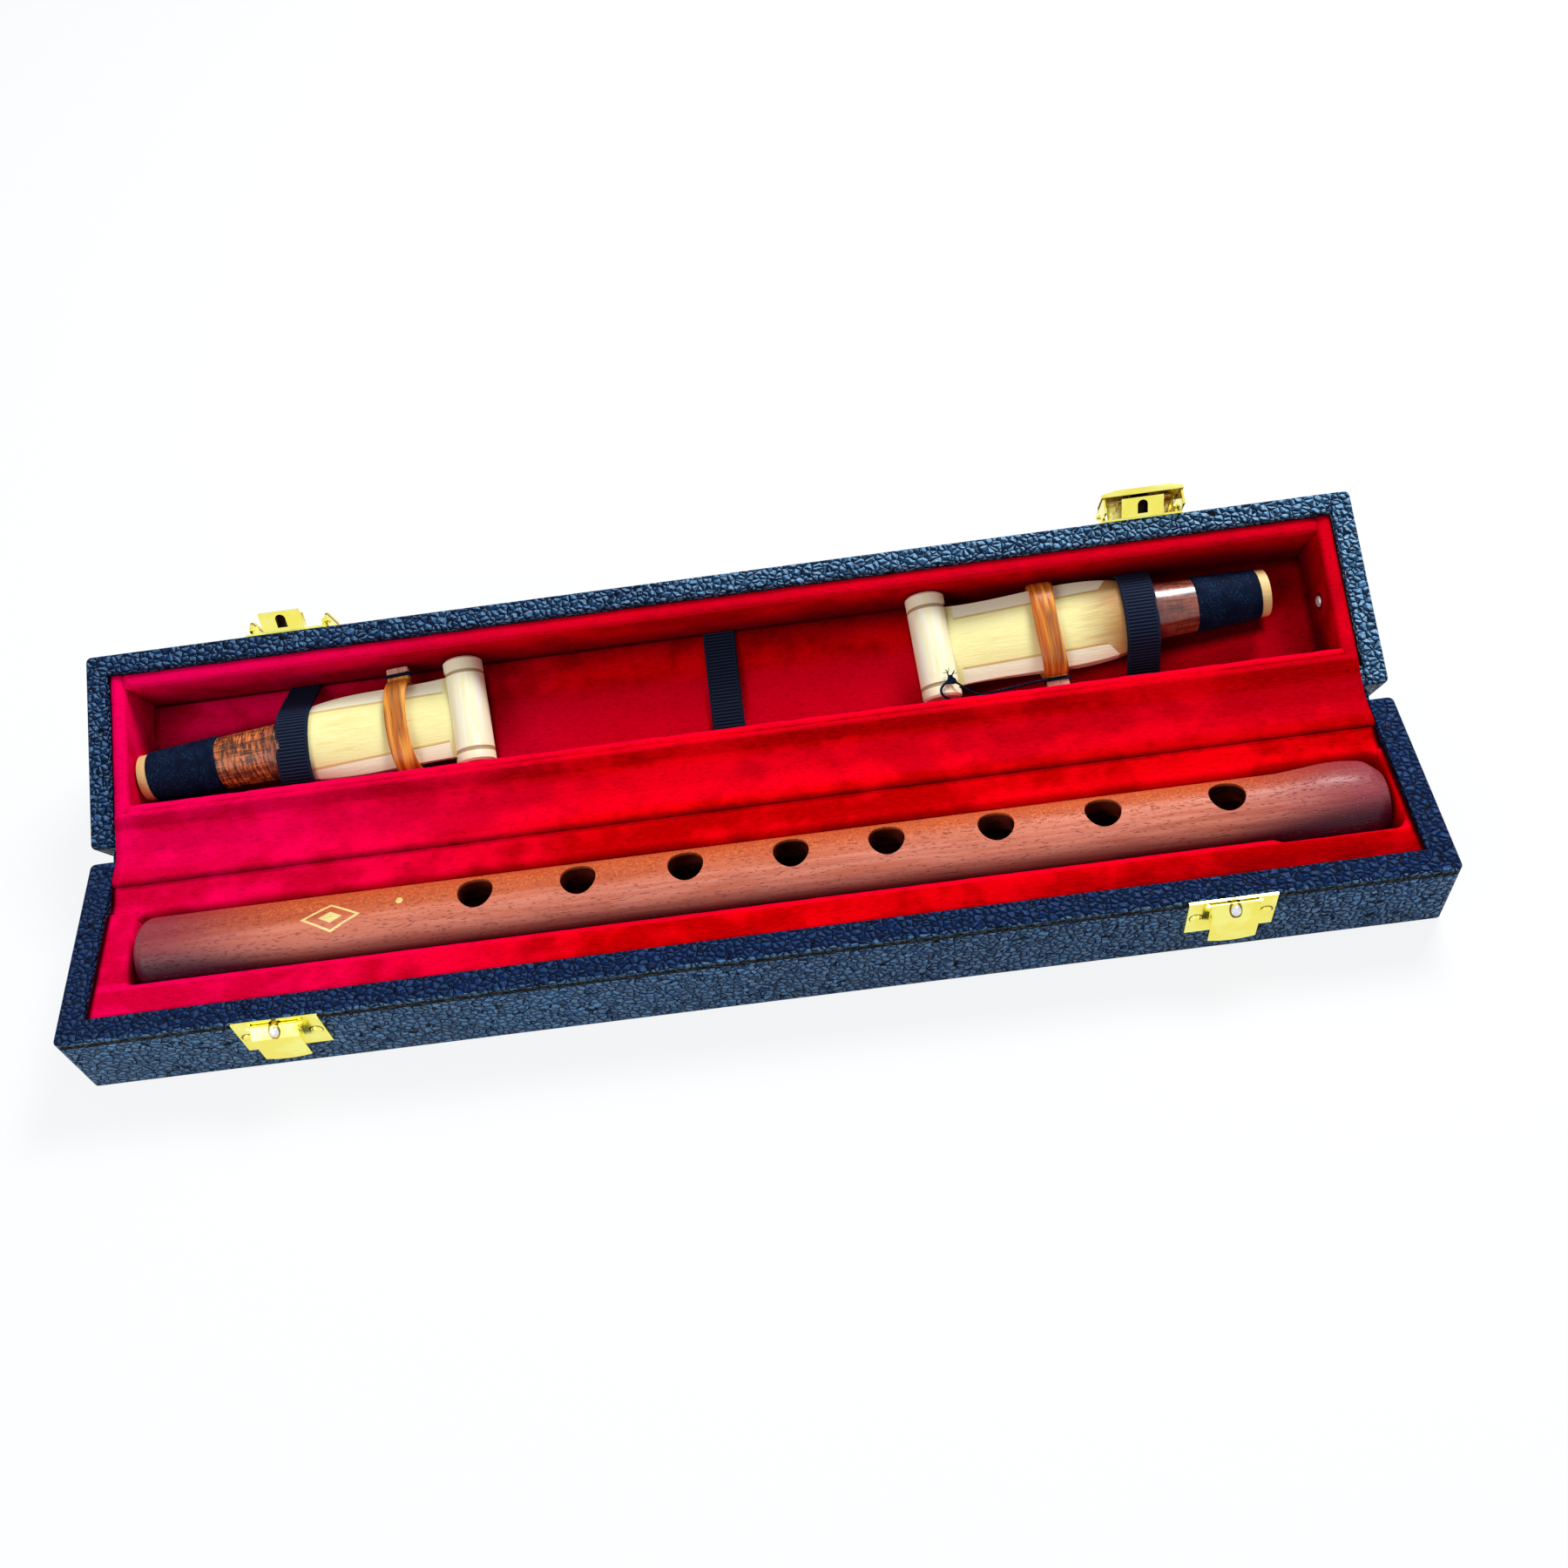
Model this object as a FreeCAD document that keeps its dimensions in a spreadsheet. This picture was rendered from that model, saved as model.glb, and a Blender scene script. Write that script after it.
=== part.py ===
"""A duduk in its hinged carrying case: the flute lies in the base, two cane reeds in the lid.

Millimetres. X runs along the case, Y from its front to its back, Z up. The origin is the middle of the
base's underside. The case is modelled open, as far as it goes: the lid's rear edge rests on the table.
"""

import FreeCAD, Part
import math
import os
import re
import Sketcher

Vector = FreeCAD.Vector
Rotation = FreeCAD.Rotation
Placement = FreeCAD.Placement

sizes = {
    # case
    "foot_space": 9.7,
    "head_space": 3.7,
    "rim_above_axis": 7.9,
    "cap_room": 3.2,
    "bridle_room": 1.9,
    "lid_room": 0.65,
    "leather": 0.8,
    "base_wall": 6.8,
    "lid_wall": 5.6,
    "base_floor": 2.2,
    "lid_floor": 3.0,
    "corner_round": 1.6,
    "rim_round": 0.7,
    # leather and velvet hinge
    "hinge_back": 1.9,
    "hinge_rise": 0.5,
    "closed_gap": 0.4,
    "velvet": 0.8,
    "rear_step": 1.0,
    "hinge_flap": 10.0,
    "velvet_side_gap": 0.2,
    # velvet block in the base
    "insert_drop": 1.3,
    "channel_gap": 0.5,
    "bulb_floor": 0.25,
    "channel_end_gap": 2.0,
    "lip_round": 1.2,
    "bulb_relief_gap": 0.15,
    "bulb_relief_run": 3.0,
    # velvet boards in the lid
    "side_lining": 4.3,
    "near_lining": 5.8,
    "lining_drop": 1.5,
    "near_lining_drop": 0.6,
    "floor_pad": 2.3,
    "lining_round": 1.0,
    # flute
    "flute_length": 326.0,
    "flute_radius": 10.5,
    "bulb_radius": 12.0,
    "bulb_start": 26.0,
    "bulb_full": 10.0,
    "bulb_shoulder": 3.5,
    "shoulder_radius": 11.0,
    "head_face_radius": 8.2,
    "bore_radius": 5.2,
    "socket_radius": 7.2,
    "socket_depth": 15.0,
    "socket_taper": 3.0,
    "mouth_bevel": 0.4,
    "foot_round": 4.0,
    "bulb_blend": 40.0,
    "shoulder_blend": 4.0,
    "finger_hole_radius": 4.7,
    "rear_hole_radius": 3.6,
    "hole_lean_angle": 7.0,
    # cane reed
    "reed_length": 95.5,
    "tail_radius": 6.5,
    "tail_bore_radius": 4.5,
    "ring_length": 2.6,
    "thread_radius_tail": 7.1,
    "thread_radius_neck": 8.0,
    "neck_radius": 8.0,
    "neck_side_height": 0.8,
    "neck_step": 0.25,
    "root_half_width": 10.4,
    "root_half_thickness": 6.3,
    "root_side_height": 1.8,
    "middle_half_width": 11.6,
    "middle_half_thickness": 3.9,
    "middle_side_height": 1.4,
    "tip_half_width": 12.5,
    "tip_half_thickness": 2.0,
    "tip_side_height": 0.9,
    "cane_wall": 1.9,
    "root_slit_half_width": 5.4,
    "root_slit_half": 2.6,
    "tip_slit_half_width": 10.8,
    "tip_slit_half": 0.7,
    # reed cap
    "cap_radius": 5.5,
    "cap_length": 30.5,
    "cap_cover": 7.5,
    "cap_slot_gap": 0.15,
    "cap_slot_side": 0.3,
    "cap_groove_distance": 3.8,
    "cap_groove_width": 0.5,
    "cap_groove_depth": 0.35,
    "cap_end_bevel": 0.6,
    # bridle
    "bridle_width": 7.4,
    "bridle_thickness": 1.7,
    "bridle_travel": 3.0,
    "bridle_gap": 0.35,
    "stub_length": 3.4,
    "stub_width": 6.4,
    "stub_thickness": 2.4,
    "tie_width": 1.2,
    "tie_thickness": 0.5,
    "tether_radius": 0.35,
    "tether_gap": 0.1,
    "tether_beside": 1.3,
    "tether_over": 1.6,
    "tether_knot_inset": 3.85,
    # where the reeds lie in the lid
    "reed_rest_gap": 0.25,
    "left_tail_gap": 0.6,
    "left_tail_shift": -6.65,
    "left_tip_shift": 6.5,
    "right_tail_gap": 14.2,
    "right_tail_shift": 4.65,
    "right_tip_shift": -4.0,
    "left_cap_shift": 0.5,
    "right_cap_shift": -0.4,
    # elastic straps
    "strap_width": 9.2,
    "strap_thickness": 1.0,
    "strap_gap": 0.5,
    "middle_strap_rise": 1.4,
    # latches
    "metal_thickness": 0.6,
    "plate_width": 22.0,
    "plate_height": 13.3,
    "plate_drop": 0.3,
    "pin_radius": 0.4,
    "pin_gap": 0.04,
    "latch_pin_out": 1.35,
    "latch_pin_drop": 1.1,
    "knuckle_radius": 0.65,
    "lever_width": 12.0,
    "lever_out": 4.0,
    "lever_drop": 13.9,
    "lever_bow_radius": 20.0,
    "lever_thickness": 0.5,
    "cheek_drop": 5.2,
    "lever_ear_gap": 0.1,
    "stud_radius": 1.25,
    "stud_height": 0.9,
    "rivet_radius": 0.6,
    "rivet_distance": 1.4,
    "tab_width": 11.5,
    "tab_gap": 0.15,
    "tab_thickness": 0.5,
    "tab_beyond_stud": 2.25,
    "slot_gap": 0.15,
    "slot_open": 2.6,
    "screw_edge": 2.3,
    "screw_drop": 7.0,
    "hasp_screw_drop": 10.8,
    "screw_radius": 0.8,
    "screw_head_radius": 1.5,
    "screw_head_height": 0.45,
    "screw_length": 4.0,
    # hinged latch covers
    "cover_pivot_out": 3.6,
    "cover_pivot_drop": 5.5,
    "cover_out": 5.9,
    "cover_below_rim": 5.0,
    "cover_wall_start": 1.8,
    "cover_back": 0.95,
    "cover_lip": 0.9,
    "cover_bow_radius": 60.0,
    "cover_side": 0.2,
    "wing_over": 1.6,
    "ear_gap": 0.35,
    "ear_radius": 1.0,
    "pin_head_radius": 0.8,
    "pin_head_height": 0.4,
    # steel stud in the lid's right lining
    "rivet_dome_radius": 1.6,
    "rivet_dome_height": 0.7,
    "rivet_shank_radius": 0.8,
    "rivet_shank": 3.0,
    "rivet_rise": 8.7,
    # cuts run past the face that they open by this much
    "overrun": 2.0,
}

finger_hole_shares = (0.2785, 0.361, 0.447, 0.531, 0.607, 0.6936, 0.778, 0.8755)
rear_hole_shares = (0.205, 0.829)
ear_foot_share = 1.5
latch_share = 0.34
middle_strap_share = -0.0023
neck_flare_share = 0.094
# the cap's thread: shares of its run to the cap, of the way out past the cap's end and of the way up over it
tether_run_shares = (
    (0, 0, 0),
    (0.25, 0.5, 0.03),
    (0.5, 0.87, 0.03),
    (0.735, 1, 0.155),
    (0.92, 1, 0.5),
)
# then over the cap to the knot: shares of the knot's distance from the cap's end, and of the way up
tether_wrap_shares = (
    (0.21, -0.09, 0.93),
    (0.18, 0.61, 1),
    (-0.67, 1, 0.86),
)
reed_shares = {
    "left_thread_end_share": 0.236,
    "left_neck_end_share": 0.414,
    "left_strap_share": 0.466,
    "left_bridle_distance_share": 0.785,
    "right_thread_end_share": 0.215,
    "right_neck_end_share": 0.330,
    "right_strap_share": 0.379,
    "right_bridle_distance_share": 0.643,
}

# what follows from the sizes: the case is as large as the flute, the reeds and its own walls need
derived = {
    "channel_width": "2*(flute_radius + channel_gap)",
    "flute_axis_height": "leather + base_floor + bulb_floor + bulb_relief_gap + bulb_radius",
    "base_height": "flute_axis_height + rim_above_axis",
    "case_length": "2*base_wall + foot_space + flute_length + head_space",
    "flute_foot": "case_length/2 - base_wall - foot_space",
    "bridle_span": "2*(tip_half_width + bridle_thickness) + stub_length",
    "compartment_width": "max(cap_length + cap_room; bridle_span + bridle_room)",
    "case_width": "2*lid_wall + near_lining + side_lining + compartment_width",
    "compartment_middle": "lid_wall + near_lining + compartment_width/2",
    "reed_stack": "thread_radius_neck + reed_rest_gap + neck_radius + strap_gap + strap_thickness",
    "flute_stand": "flute_axis_height + flute_radius - base_height",
    "lid_height": "leather + lid_floor + floor_pad + reed_stack + flute_stand + lid_room",
    "compartment_end": "case_length/2 - lid_wall - side_lining",
    "left_tail_x": "left_tail_gap - compartment_end",
    "right_tail_x": "compartment_end - right_tail_gap",
    "left_tail_u": "compartment_middle + left_tail_shift",
    "right_tail_u": "compartment_middle + right_tail_shift",
    "latch_distance": "%s*case_length" % latch_share,
    "lever_bottom": "base_height - lever_drop",
    "screw_spread": "plate_width/2 - screw_edge",
    "lid_rivet_depth": "lid_height - leather - lid_floor - floor_pad - rivet_rise",
    "neck_flare": "%s*reed_length" % neck_flare_share,
    "middle_strap_x": "%s*case_length" % middle_strap_share,
}
for name, share in reed_shares.items():
    derived[name.removesuffix("_share")] = "%s*reed_length" % share

doc = FreeCAD.newDocument("DudukCase")
sheet = doc.addObject("Spreadsheet::Sheet", "Sizes")
for row, (alias, number) in enumerate(sizes.items(), 1):
    sheet.set("A%d" % row, alias)
    sheet.set("B%d" % row, str(number))
    sheet.setAlias("B%d" % row, alias)
for row, (alias, formula) in enumerate(derived.items(), len(sizes) + 1):
    sheet.set("A%d" % row, alias)
    sheet.set("B%d" % row, "=" + formula)
    sheet.setAlias("B%d" % row, alias)
doc.recompute()
named = {**sizes, **derived}

nodes = []


def cells(text):
    """The expression with every size written as a cell of the sheet."""
    text = text.replace("ear_foot_share", str(ear_foot_share))
    return re.sub(r"[a-z_]+", lambda m: "Sizes." + m.group() if m.group() in named else m.group(), text)


def value(text):
    """The number that an expression of sizes has now."""
    return float(sheet.evalExpression(cells(text)))


def bind(thing, **properties):
    """Binds properties to expressions; a double underscore stands for the dot in a path."""
    for path, text in properties.items():
        thing.setExpression(path.replace("__", "."), cells(text))


def keep(thing, node):
    """Marks an object as a sub-part: its Label names the node."""
    thing.Label = node
    nodes.append(thing)
    return thing


def add(kind, name, **properties):
    thing = doc.addObject("Part::" + kind, name)
    bind(thing, **properties)
    return thing


def cut(name, base, *tools):
    tool = tools[0] if len(tools) == 1 else fuse(name + "Tools", *tools)
    thing = doc.addObject("Part::Cut", name)
    thing.Base = base
    thing.Tool = tool
    return thing


def fuse(name, *shapes):
    thing = doc.addObject("Part::MultiFuse", name)
    thing.Shapes = list(shapes)
    return thing


def group(name, *shapes):
    thing = doc.addObject("Part::Compound", name)
    thing.Links = list(shapes)
    return thing


# Bodies made from sketches


def new_body(name):
    return doc.addObject("PartDesign::Body", name)


def outline(body, plane, points, offset="0", circles=()):
    """A closed outline of straight runs, each corner tied to the sheet, and any round holes in it."""
    origin_plane = [f for f in body.Origin.OriginFeatures if f.Role == plane + "_Plane"][0]
    sketch = body.newObject("Sketcher::SketchObject", body.Name + "Outline")
    sketch.AttachmentSupport = [(origin_plane, "")]
    sketch.MapMode = "FlatFace"
    sketch.setExpression("AttachmentOffset.Base.z", cells(offset))
    corners = [Vector(value(x), value(y), 0) for x, y in points]
    for i, corner in enumerate(corners):
        sketch.addGeometry(Part.LineSegment(corner, corners[(i + 1) % len(corners)]), False)
    for i in range(len(corners)):
        sketch.addConstraint(Sketcher.Constraint("Coincident", i, 2, (i + 1) % len(corners), 1))
    for i, pair in enumerate(points):
        place(sketch, i, 1, pair, "corner%d" % i)
    for x, y, radius in circles:
        centre = Vector(value(x), value(y), 0)
        i = sketch.addGeometry(Part.Circle(centre, Vector(0, 0, 1), value(radius)), False)
        place(sketch, i, 3, (x, y), "centre%d" % i)
        n = sketch.addConstraint(Sketcher.Constraint("Radius", i, value(radius)))
        sketch.renameConstraint(n, "radius%d" % i)
        sketch.setExpression("Constraints.radius%d" % i, cells(radius))
    return sketch


def place(sketch, geometry, point, pair, name):
    for axis, text in zip("XY", pair):
        limit = Sketcher.Constraint("Distance" + axis, -1, 1, geometry, point, value(text))
        n = sketch.addConstraint(limit)
        sketch.renameConstraint(n, name + axis)
        sketch.setExpression("Constraints.%s%s" % (name, axis), cells(text))


def feature(body, kind, sketch, **properties):
    thing = body.newObject("PartDesign::" + kind, body.Name + kind)
    thing.Profile = sketch
    bind(thing, **properties)
    return thing


def rectangle(x0, x1, y0, y1):
    return [(x0, y0), (x1, y0), (x1, y1), (x0, y1)]


def pocket(body, plane, points, offset, depth, circles=(), flip=False):
    """Cuts an outline into the body, and makes sure that it took something away."""
    doc.recompute()
    before = body.Shape.Volume
    sketch = outline(body, plane, points, offset, circles)
    thing = feature(body, "Pocket", sketch, Length=depth)
    thing.Reversed = flip
    doc.recompute()
    if body.Shape.Volume > before * 0.999999:
        raise RuntimeError(body.Label + ": a pocket cut nothing")
    return thing


def round_edges(body, radius, test):
    """Fillets the edges whose box passes the test."""
    doc.recompute()
    tip = body.Tip
    names = []
    for i, edge in enumerate(tip.Shape.Edges, 1):
        if test(edge.BoundBox):
            names.append("Edge%d" % i)
    if not names:
        raise RuntimeError(body.Label + ": no edge to round")
    thing = body.newObject("PartDesign::Fillet", body.Name + "Fillet")
    thing.Base = (tip, names)
    bind(thing, Radius=radius)
    return thing


def near(a, b):
    return abs(a - b) < 5e-3


def round_ring(body, radius, rings):
    """Fillets circular edges of a turned body, each given by its place along X and its radius."""
    spots = [(value(x), value(r)) for x, r in rings]
    found = lambda b: any(near(b.XMin, x) and near(b.XMax, x) and near(b.ZMax, r) for x, r in spots)
    round_edges(body, radius, found)


# Where the lid stands

axis_y = value("case_width/2 + hinge_back")
axis_z = value("base_height + hinge_rise")


def rim_at(opened):
    """The lid's rear rim corner, in Y and Z, when the lid has turned this many degrees from closed."""
    turn = -math.radians(opened)
    y = value("case_width/2") - axis_y
    z = value("base_height + closed_gap") - axis_z
    return (
        axis_y + y * math.cos(turn) - z * math.sin(turn), axis_z + y * math.sin(turn) + z * math.cos(turn)
    )


def rear_edge_height(opened):
    tilt = math.radians(180 - opened)
    return rim_at(opened)[1] - value("lid_height") * math.cos(tilt)


def open_angle():
    """The lid opens until its rear edge meets the table."""
    low, high = 120.0, 180.0
    for _ in range(60):
        middle = (low + high) / 2
        if rear_edge_height(middle) > 0:
            low = middle
        else:
            high = middle
    return (low + high) / 2


opened = open_angle()
tilt = 180 - opened
rim_y, rim_z = rim_at(opened)
lid_frame = Placement(Vector(0, rim_y, rim_z), Rotation(Vector(1, 0, 0), tilt))


def in_lid(x, u, w):
    """A point of the lid: u runs from its rear rim to its front rim, w out of its mouth."""
    return lid_frame.multVec(Vector(x, u, w))


def on_lid(thing):
    thing.Placement = lid_frame
    return thing


# Case boards, with their leather

base_in_x = "case_length/2 - base_wall"
base_in_y = "case_width/2 - base_wall"
lid_in_x = "case_length/2 - lid_wall"
screw_x = ["%s*latch_distance %s screw_spread" % (a, b) for a in ("-1", "1") for b in "-+"]


def tray(name, low_y, high_y, bottom, top, wall, floor):
    """A board tray, the leather round it, and the holes for the latch screws through both."""
    board = new_body(name + "Board")
    half = "case_length/2 - leather"
    edge = rectangle("-(" + half + ")", half, low_y + " + leather", high_y + " - leather")
    feature(
        board,
        "Pad",
        outline(board, "XY", edge, bottom + " + leather"),
        Length=top + " - (" + bottom + ") - 2*leather",
    )
    doc.recompute()
    inner = "(case_length/2 - %s + leather)" % wall
    hollow = rectangle(
        "-" + inner, inner, low_y + " + " + wall + " - leather", high_y + " - " + wall + " + leather"
    )
    pocket(board, "XY", hollow, top, top + " - (" + bottom + ") - leather - " + floor)
    skin = new_body(name + "Skin")
    whole = rectangle("-case_length/2", "case_length/2", low_y, high_y)
    feature(skin, "Pad", outline(skin, "XY", whole, bottom), Length=top + " - (" + bottom + ")")
    tall = value(top) - value(bottom)
    round_edges(skin, "corner_round", lambda b: near(b.ZLength, tall))
    hollow = rectangle(
        "-(case_length/2 - %s)" % wall,
        "case_length/2 - %s" % wall,
        low_y + " + " + wall,
        high_y + " - " + wall,
    )
    pocket(skin, "XY", hollow, top, top + " - (" + bottom + ") - leather - " + floor)
    return board, skin


def base_case():
    board, skin = tray("Base", "-case_width/2", "case_width/2", "0", "base_height", "base_wall", "base_floor")
    step = rectangle("-(case_length/2 - base_wall)", "case_length/2 - base_wall", base_in_y, "case_width/2")
    pocket(skin, "XY", step, "base_height", "rear_step")
    top_edge = value("base_height")
    round_edges(
        skin,
        "rim_round",
        lambda b: near(b.ZMin, top_edge) and b.XLength > value("case_length/2") and b.YMin < 0,
    )
    under = rectangle(
        "-(case_length/2 - base_wall + leather)",
        "case_length/2 - base_wall + leather",
        base_in_y,
        "case_width/2",
    )
    pocket(board, "XY", under, "base_height", "rear_step + leather")
    holes = latch_screw_holes("BaseScrewHoles", "base_height - plate_drop - screw_drop", "-case_width/2")
    keep(cut("BaseBoard_", board, holes), "base_board")
    keep(cut("BaseLeather_", skin, board, holes), "base_leather")


def latch_screw_holes(name, height, face):
    """Four screw shanks that run from a front face into its wall, as one tool."""
    shanks = []
    for i, x in enumerate(screw_x):
        shank = add("Cylinder", name + "Shank%d" % i, Radius="screw_radius", Height="screw_length + overrun")
        shank.Placement = Placement(Vector(), Rotation(Vector(1, 0, 0), -90))
        bind(shank, Placement__Base__x=x, Placement__Base__y=face + " - overrun", Placement__Base__z=height)
        shanks.append(shank)
    return fuse(name, *shanks)


def lid_case():
    board, skin = tray("Lid", "0", "case_width", "-lid_height", "0", "lid_wall", "lid_floor")
    step = rectangle("-(case_length/2 - lid_wall)", "case_length/2 - lid_wall", "0", "lid_wall")
    pocket(skin, "XY", step, "0", "rear_step")
    front_half = value("lid_wall + leather")
    long_enough = value("case_length/2")
    at_rim = lambda b: near(b.ZMax, 0) and near(b.ZMin, 0)
    round_edges(skin, "rim_round", lambda b: at_rim(b) and b.XLength > long_enough and b.YMax > front_half)
    under = rectangle(
        "-(case_length/2 - lid_wall + leather)", "case_length/2 - lid_wall + leather", "0", "lid_wall"
    )
    pocket(board, "XY", under, "0", "rear_step + leather")
    holes = []
    for i, x in enumerate(screw_x):
        shank = add("Cylinder", "LidScrewHole%d" % i, Radius="screw_radius", Height="screw_length + overrun")
        shank.Placement = Placement(Vector(), Rotation(Vector(1, 0, 0), 90))
        bind(
            shank,
            Placement__Base__x=x,
            Placement__Base__y="case_width + overrun",
            Placement__Base__z="-(plate_drop + hasp_screw_drop)",
        )
        holes.append(shank)
    holes = fuse("LidScrewHoles", *holes)
    keep(on_lid(cut("LidBoard_", board, holes)), "lid_board")
    keep(on_lid(cut("LidLeather_", skin, board, holes)), "lid_leather")


# Velvet block with the flute's channel

flute_left = "-flute_foot"
flute_right = "(flute_length - flute_foot)"


def channel_insert():
    body = new_body("Insert")
    edge = rectangle("-(" + base_in_x + ")", base_in_x, "-(" + base_in_y + ")", base_in_y)
    feature(
        body,
        "Pad",
        outline(body, "XY", edge, "leather + base_floor"),
        Length="base_height - insert_drop - leather - base_floor",
    )
    left = flute_left + " - channel_end_gap"
    right = flute_right + " + channel_end_gap"
    top = "base_height - insert_drop"
    trough = rectangle(left, right, "-channel_width/2", "channel_width/2")
    pocket(body, "XY", trough, top, top + " - flute_axis_height + flute_radius")
    relief = rectangle(
        flute_right + " - bulb_start - bulb_relief_run",
        right,
        "-bulb_radius - bulb_relief_gap",
        "bulb_radius + bulb_relief_gap",
    )
    pocket(body, "XY", relief, top, top + " - flute_axis_height + bulb_radius + bulb_relief_gap")
    level = value(top)
    inside = value("case_width/2 - base_wall") - 1e-3
    round_edges(body, "lip_round", lambda b: near(b.ZMin, level) and b.YMax < inside and b.YMin > -inside)
    keep(body, "channel_insert")


# Hinge: leather outside, velvet inside, both bent where the lid is open


def strip(node, points, half_length):
    """A flexible strip along the hinge: its section is a closed run of points in Y and Z."""
    corners = [Vector(-half_length, y, z) for y, z in points]
    face = Part.Face(Part.makePolygon(corners + corners[:1]))
    thing = doc.addObject("Part::Feature", node.title().replace("_", ""))
    thing.Shape = face.extrude(Vector(2 * half_length, 0, 0))
    keep(thing, node)


def section(u, w):
    point = in_lid(0, u, w)
    return (point.y, point.z)


def hinge_strips():
    back = value("case_width/2")
    base_rim = value("base_height - rear_step")
    step = value("rear_step")
    nap = value("velvet")
    hide = value("leather")
    inner = [
        (value(base_in_y), base_rim), (back, base_rim), section(0, -step), section(value("lid_wall"), -step)
    ]
    outer = [
        section(value("lid_wall"), nap - step),
        section(0, nap - step),
        (back, base_rim + nap),
        (value(base_in_y), base_rim + nap),
    ]
    strip("hinge_velvet", inner + outer, value(base_in_x + " - velvet_side_gap"))
    flap = value("hinge_flap")
    start = Vector(0, back, base_rim)
    end = in_lid(0, 0, -step)
    run = end - start
    run.normalize()
    drop = Vector(0, run.z, -run.y) * hide
    slope = run.z / run.y
    base_turn = (back + hide, start.z + drop.z + slope * (hide - drop.y))
    down = Vector(0, *section(0, -1)) - Vector(0, *section(0, 0))
    across = Vector(0, *section(-hide, 0)) - Vector(0, *section(0, 0))
    line_start = start + drop
    foot = end + across - line_start
    along = -(foot.y * run.z - foot.z * run.y) / (down.y * run.z - down.z * run.y)
    lid_turn = end + across + down * along
    points = [(back, base_rim - flap), (back, base_rim), (end.y, end.z), section(0, -step - flap)]
    points += [
        section(-hide, -step - flap), (lid_turn.y, lid_turn.z), base_turn, (back + hide, base_rim - flap)
    ]
    strip("hinge_leather", points, value(lid_in_x))


# Velvet boards, pad and straps in the lid

pad_top = "-(lid_height - leather - lid_floor - floor_pad)"
board_top = "-(lid_height - leather - lid_floor)"
near_face = "lid_wall + near_lining"
far_face = "case_width - lid_wall - side_lining"


def lining(name, node, x0, x1, u0, u1, drop, rounded):
    body = new_body(name)
    feature(
        body,
        "Pad",
        outline(body, "XY", rectangle(x0, x1, u0, u1), board_top),
        Length="-(" + drop + ") - (" + board_top + ")",
    )
    if rounded:
        level = -value(drop)
        round_edges(body, "lining_round", lambda b: near(b.ZMin, level) and rounded(b))
    body.Placement = lid_frame
    return keep(body, node)


def lid_lining():
    side = "(case_length/2 - lid_wall - side_lining)"
    long_edge = lambda b: b.XLength > b.YLength
    cross_edge = lambda b: b.YLength > b.XLength
    lining(
        "FarLining",
        "lid_lining_front",
        "-" + side,
        side,
        far_face,
        "case_width - lid_wall",
        "lining_drop",
        long_edge,
    )
    lining(
        "NearLining",
        "lid_lining_rear",
        "-" + side,
        side,
        "lid_wall",
        near_face,
        "near_lining_drop",
        long_edge,
    )
    lining(
        "LeftLining",
        "lid_lining_left",
        "-(case_length/2 - lid_wall)",
        "-" + side,
        "lid_wall",
        "case_width - lid_wall",
        "lining_drop",
        cross_edge,
    )
    right = lining(
        "RightLining",
        "RightLiningBlank",
        side,
        "case_length/2 - lid_wall",
        "lid_wall",
        "case_width - lid_wall",
        "lining_drop",
        cross_edge,
    )
    nodes.pop()
    right.Placement = Placement()
    hole = add("Cylinder", "LidRivetHole", Radius="rivet_shank_radius", Height="rivet_shank + overrun")
    hole.Placement = Placement(Vector(), Rotation(Vector(0, 1, 0), 90))
    bind(
        hole,
        Placement__Base__x=side + " - overrun",
        Placement__Base__y="compartment_middle",
        Placement__Base__z="-lid_rivet_depth",
    )
    keep(on_lid(cut("RightLining_", right, hole)), "lid_lining_right")
    pad = new_body("FloorPad")
    edge = rectangle("-" + side, side, near_face, far_face)
    feature(pad, "Pad", outline(pad, "XY", edge, board_top), Length="floor_pad")
    pad.Placement = lid_frame
    keep(pad, "lid_floor_pad")
    lid_rivet(side)


def lid_rivet(face):
    """A domed steel rivet in the right lining."""
    body = new_body("LidRivet")
    half = [
        ("0", "0"),
        ("0", "rivet_shank_radius"),
        ("rivet_shank", "rivet_shank_radius"),
        ("rivet_shank", "rivet_dome_radius"),
        ("rivet_shank + rivet_dome_height/2", "rivet_dome_radius*0.92"),
        ("rivet_shank + rivet_dome_height", "rivet_dome_radius/2"),
        ("rivet_shank + rivet_dome_height", "0"),
    ]
    turned(body, half)
    spot = in_lid(value(face + " + rivet_shank"), value("compartment_middle"), -value("lid_rivet_depth"))
    body.Placement = Placement(spot, lid_frame.Rotation * Rotation(Vector(0, 0, 1), 180))
    keep(body, "lid_rivet")


def turned(body, half):
    """Revolves half a section, given as points along X and out from it, about the body's X axis."""
    sketch = outline(body, "XY", half)
    thing = feature(body, "Revolution", sketch)
    thing.ReferenceAxis = (sketch, ["H_Axis"])
    thing.Angle = 360
    return thing


def tangent(foot, centre, wide, tall, side):
    """Where a straight band from foot meets an ellipse, as the ellipse's angle; side is the sign of u."""
    u = (foot[0] - centre[0]) / wide
    w = (foot[1] - centre[1]) / tall
    reach = math.hypot(u, w)
    return math.atan2(w, u) - side * math.acos(1 / reach)


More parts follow.
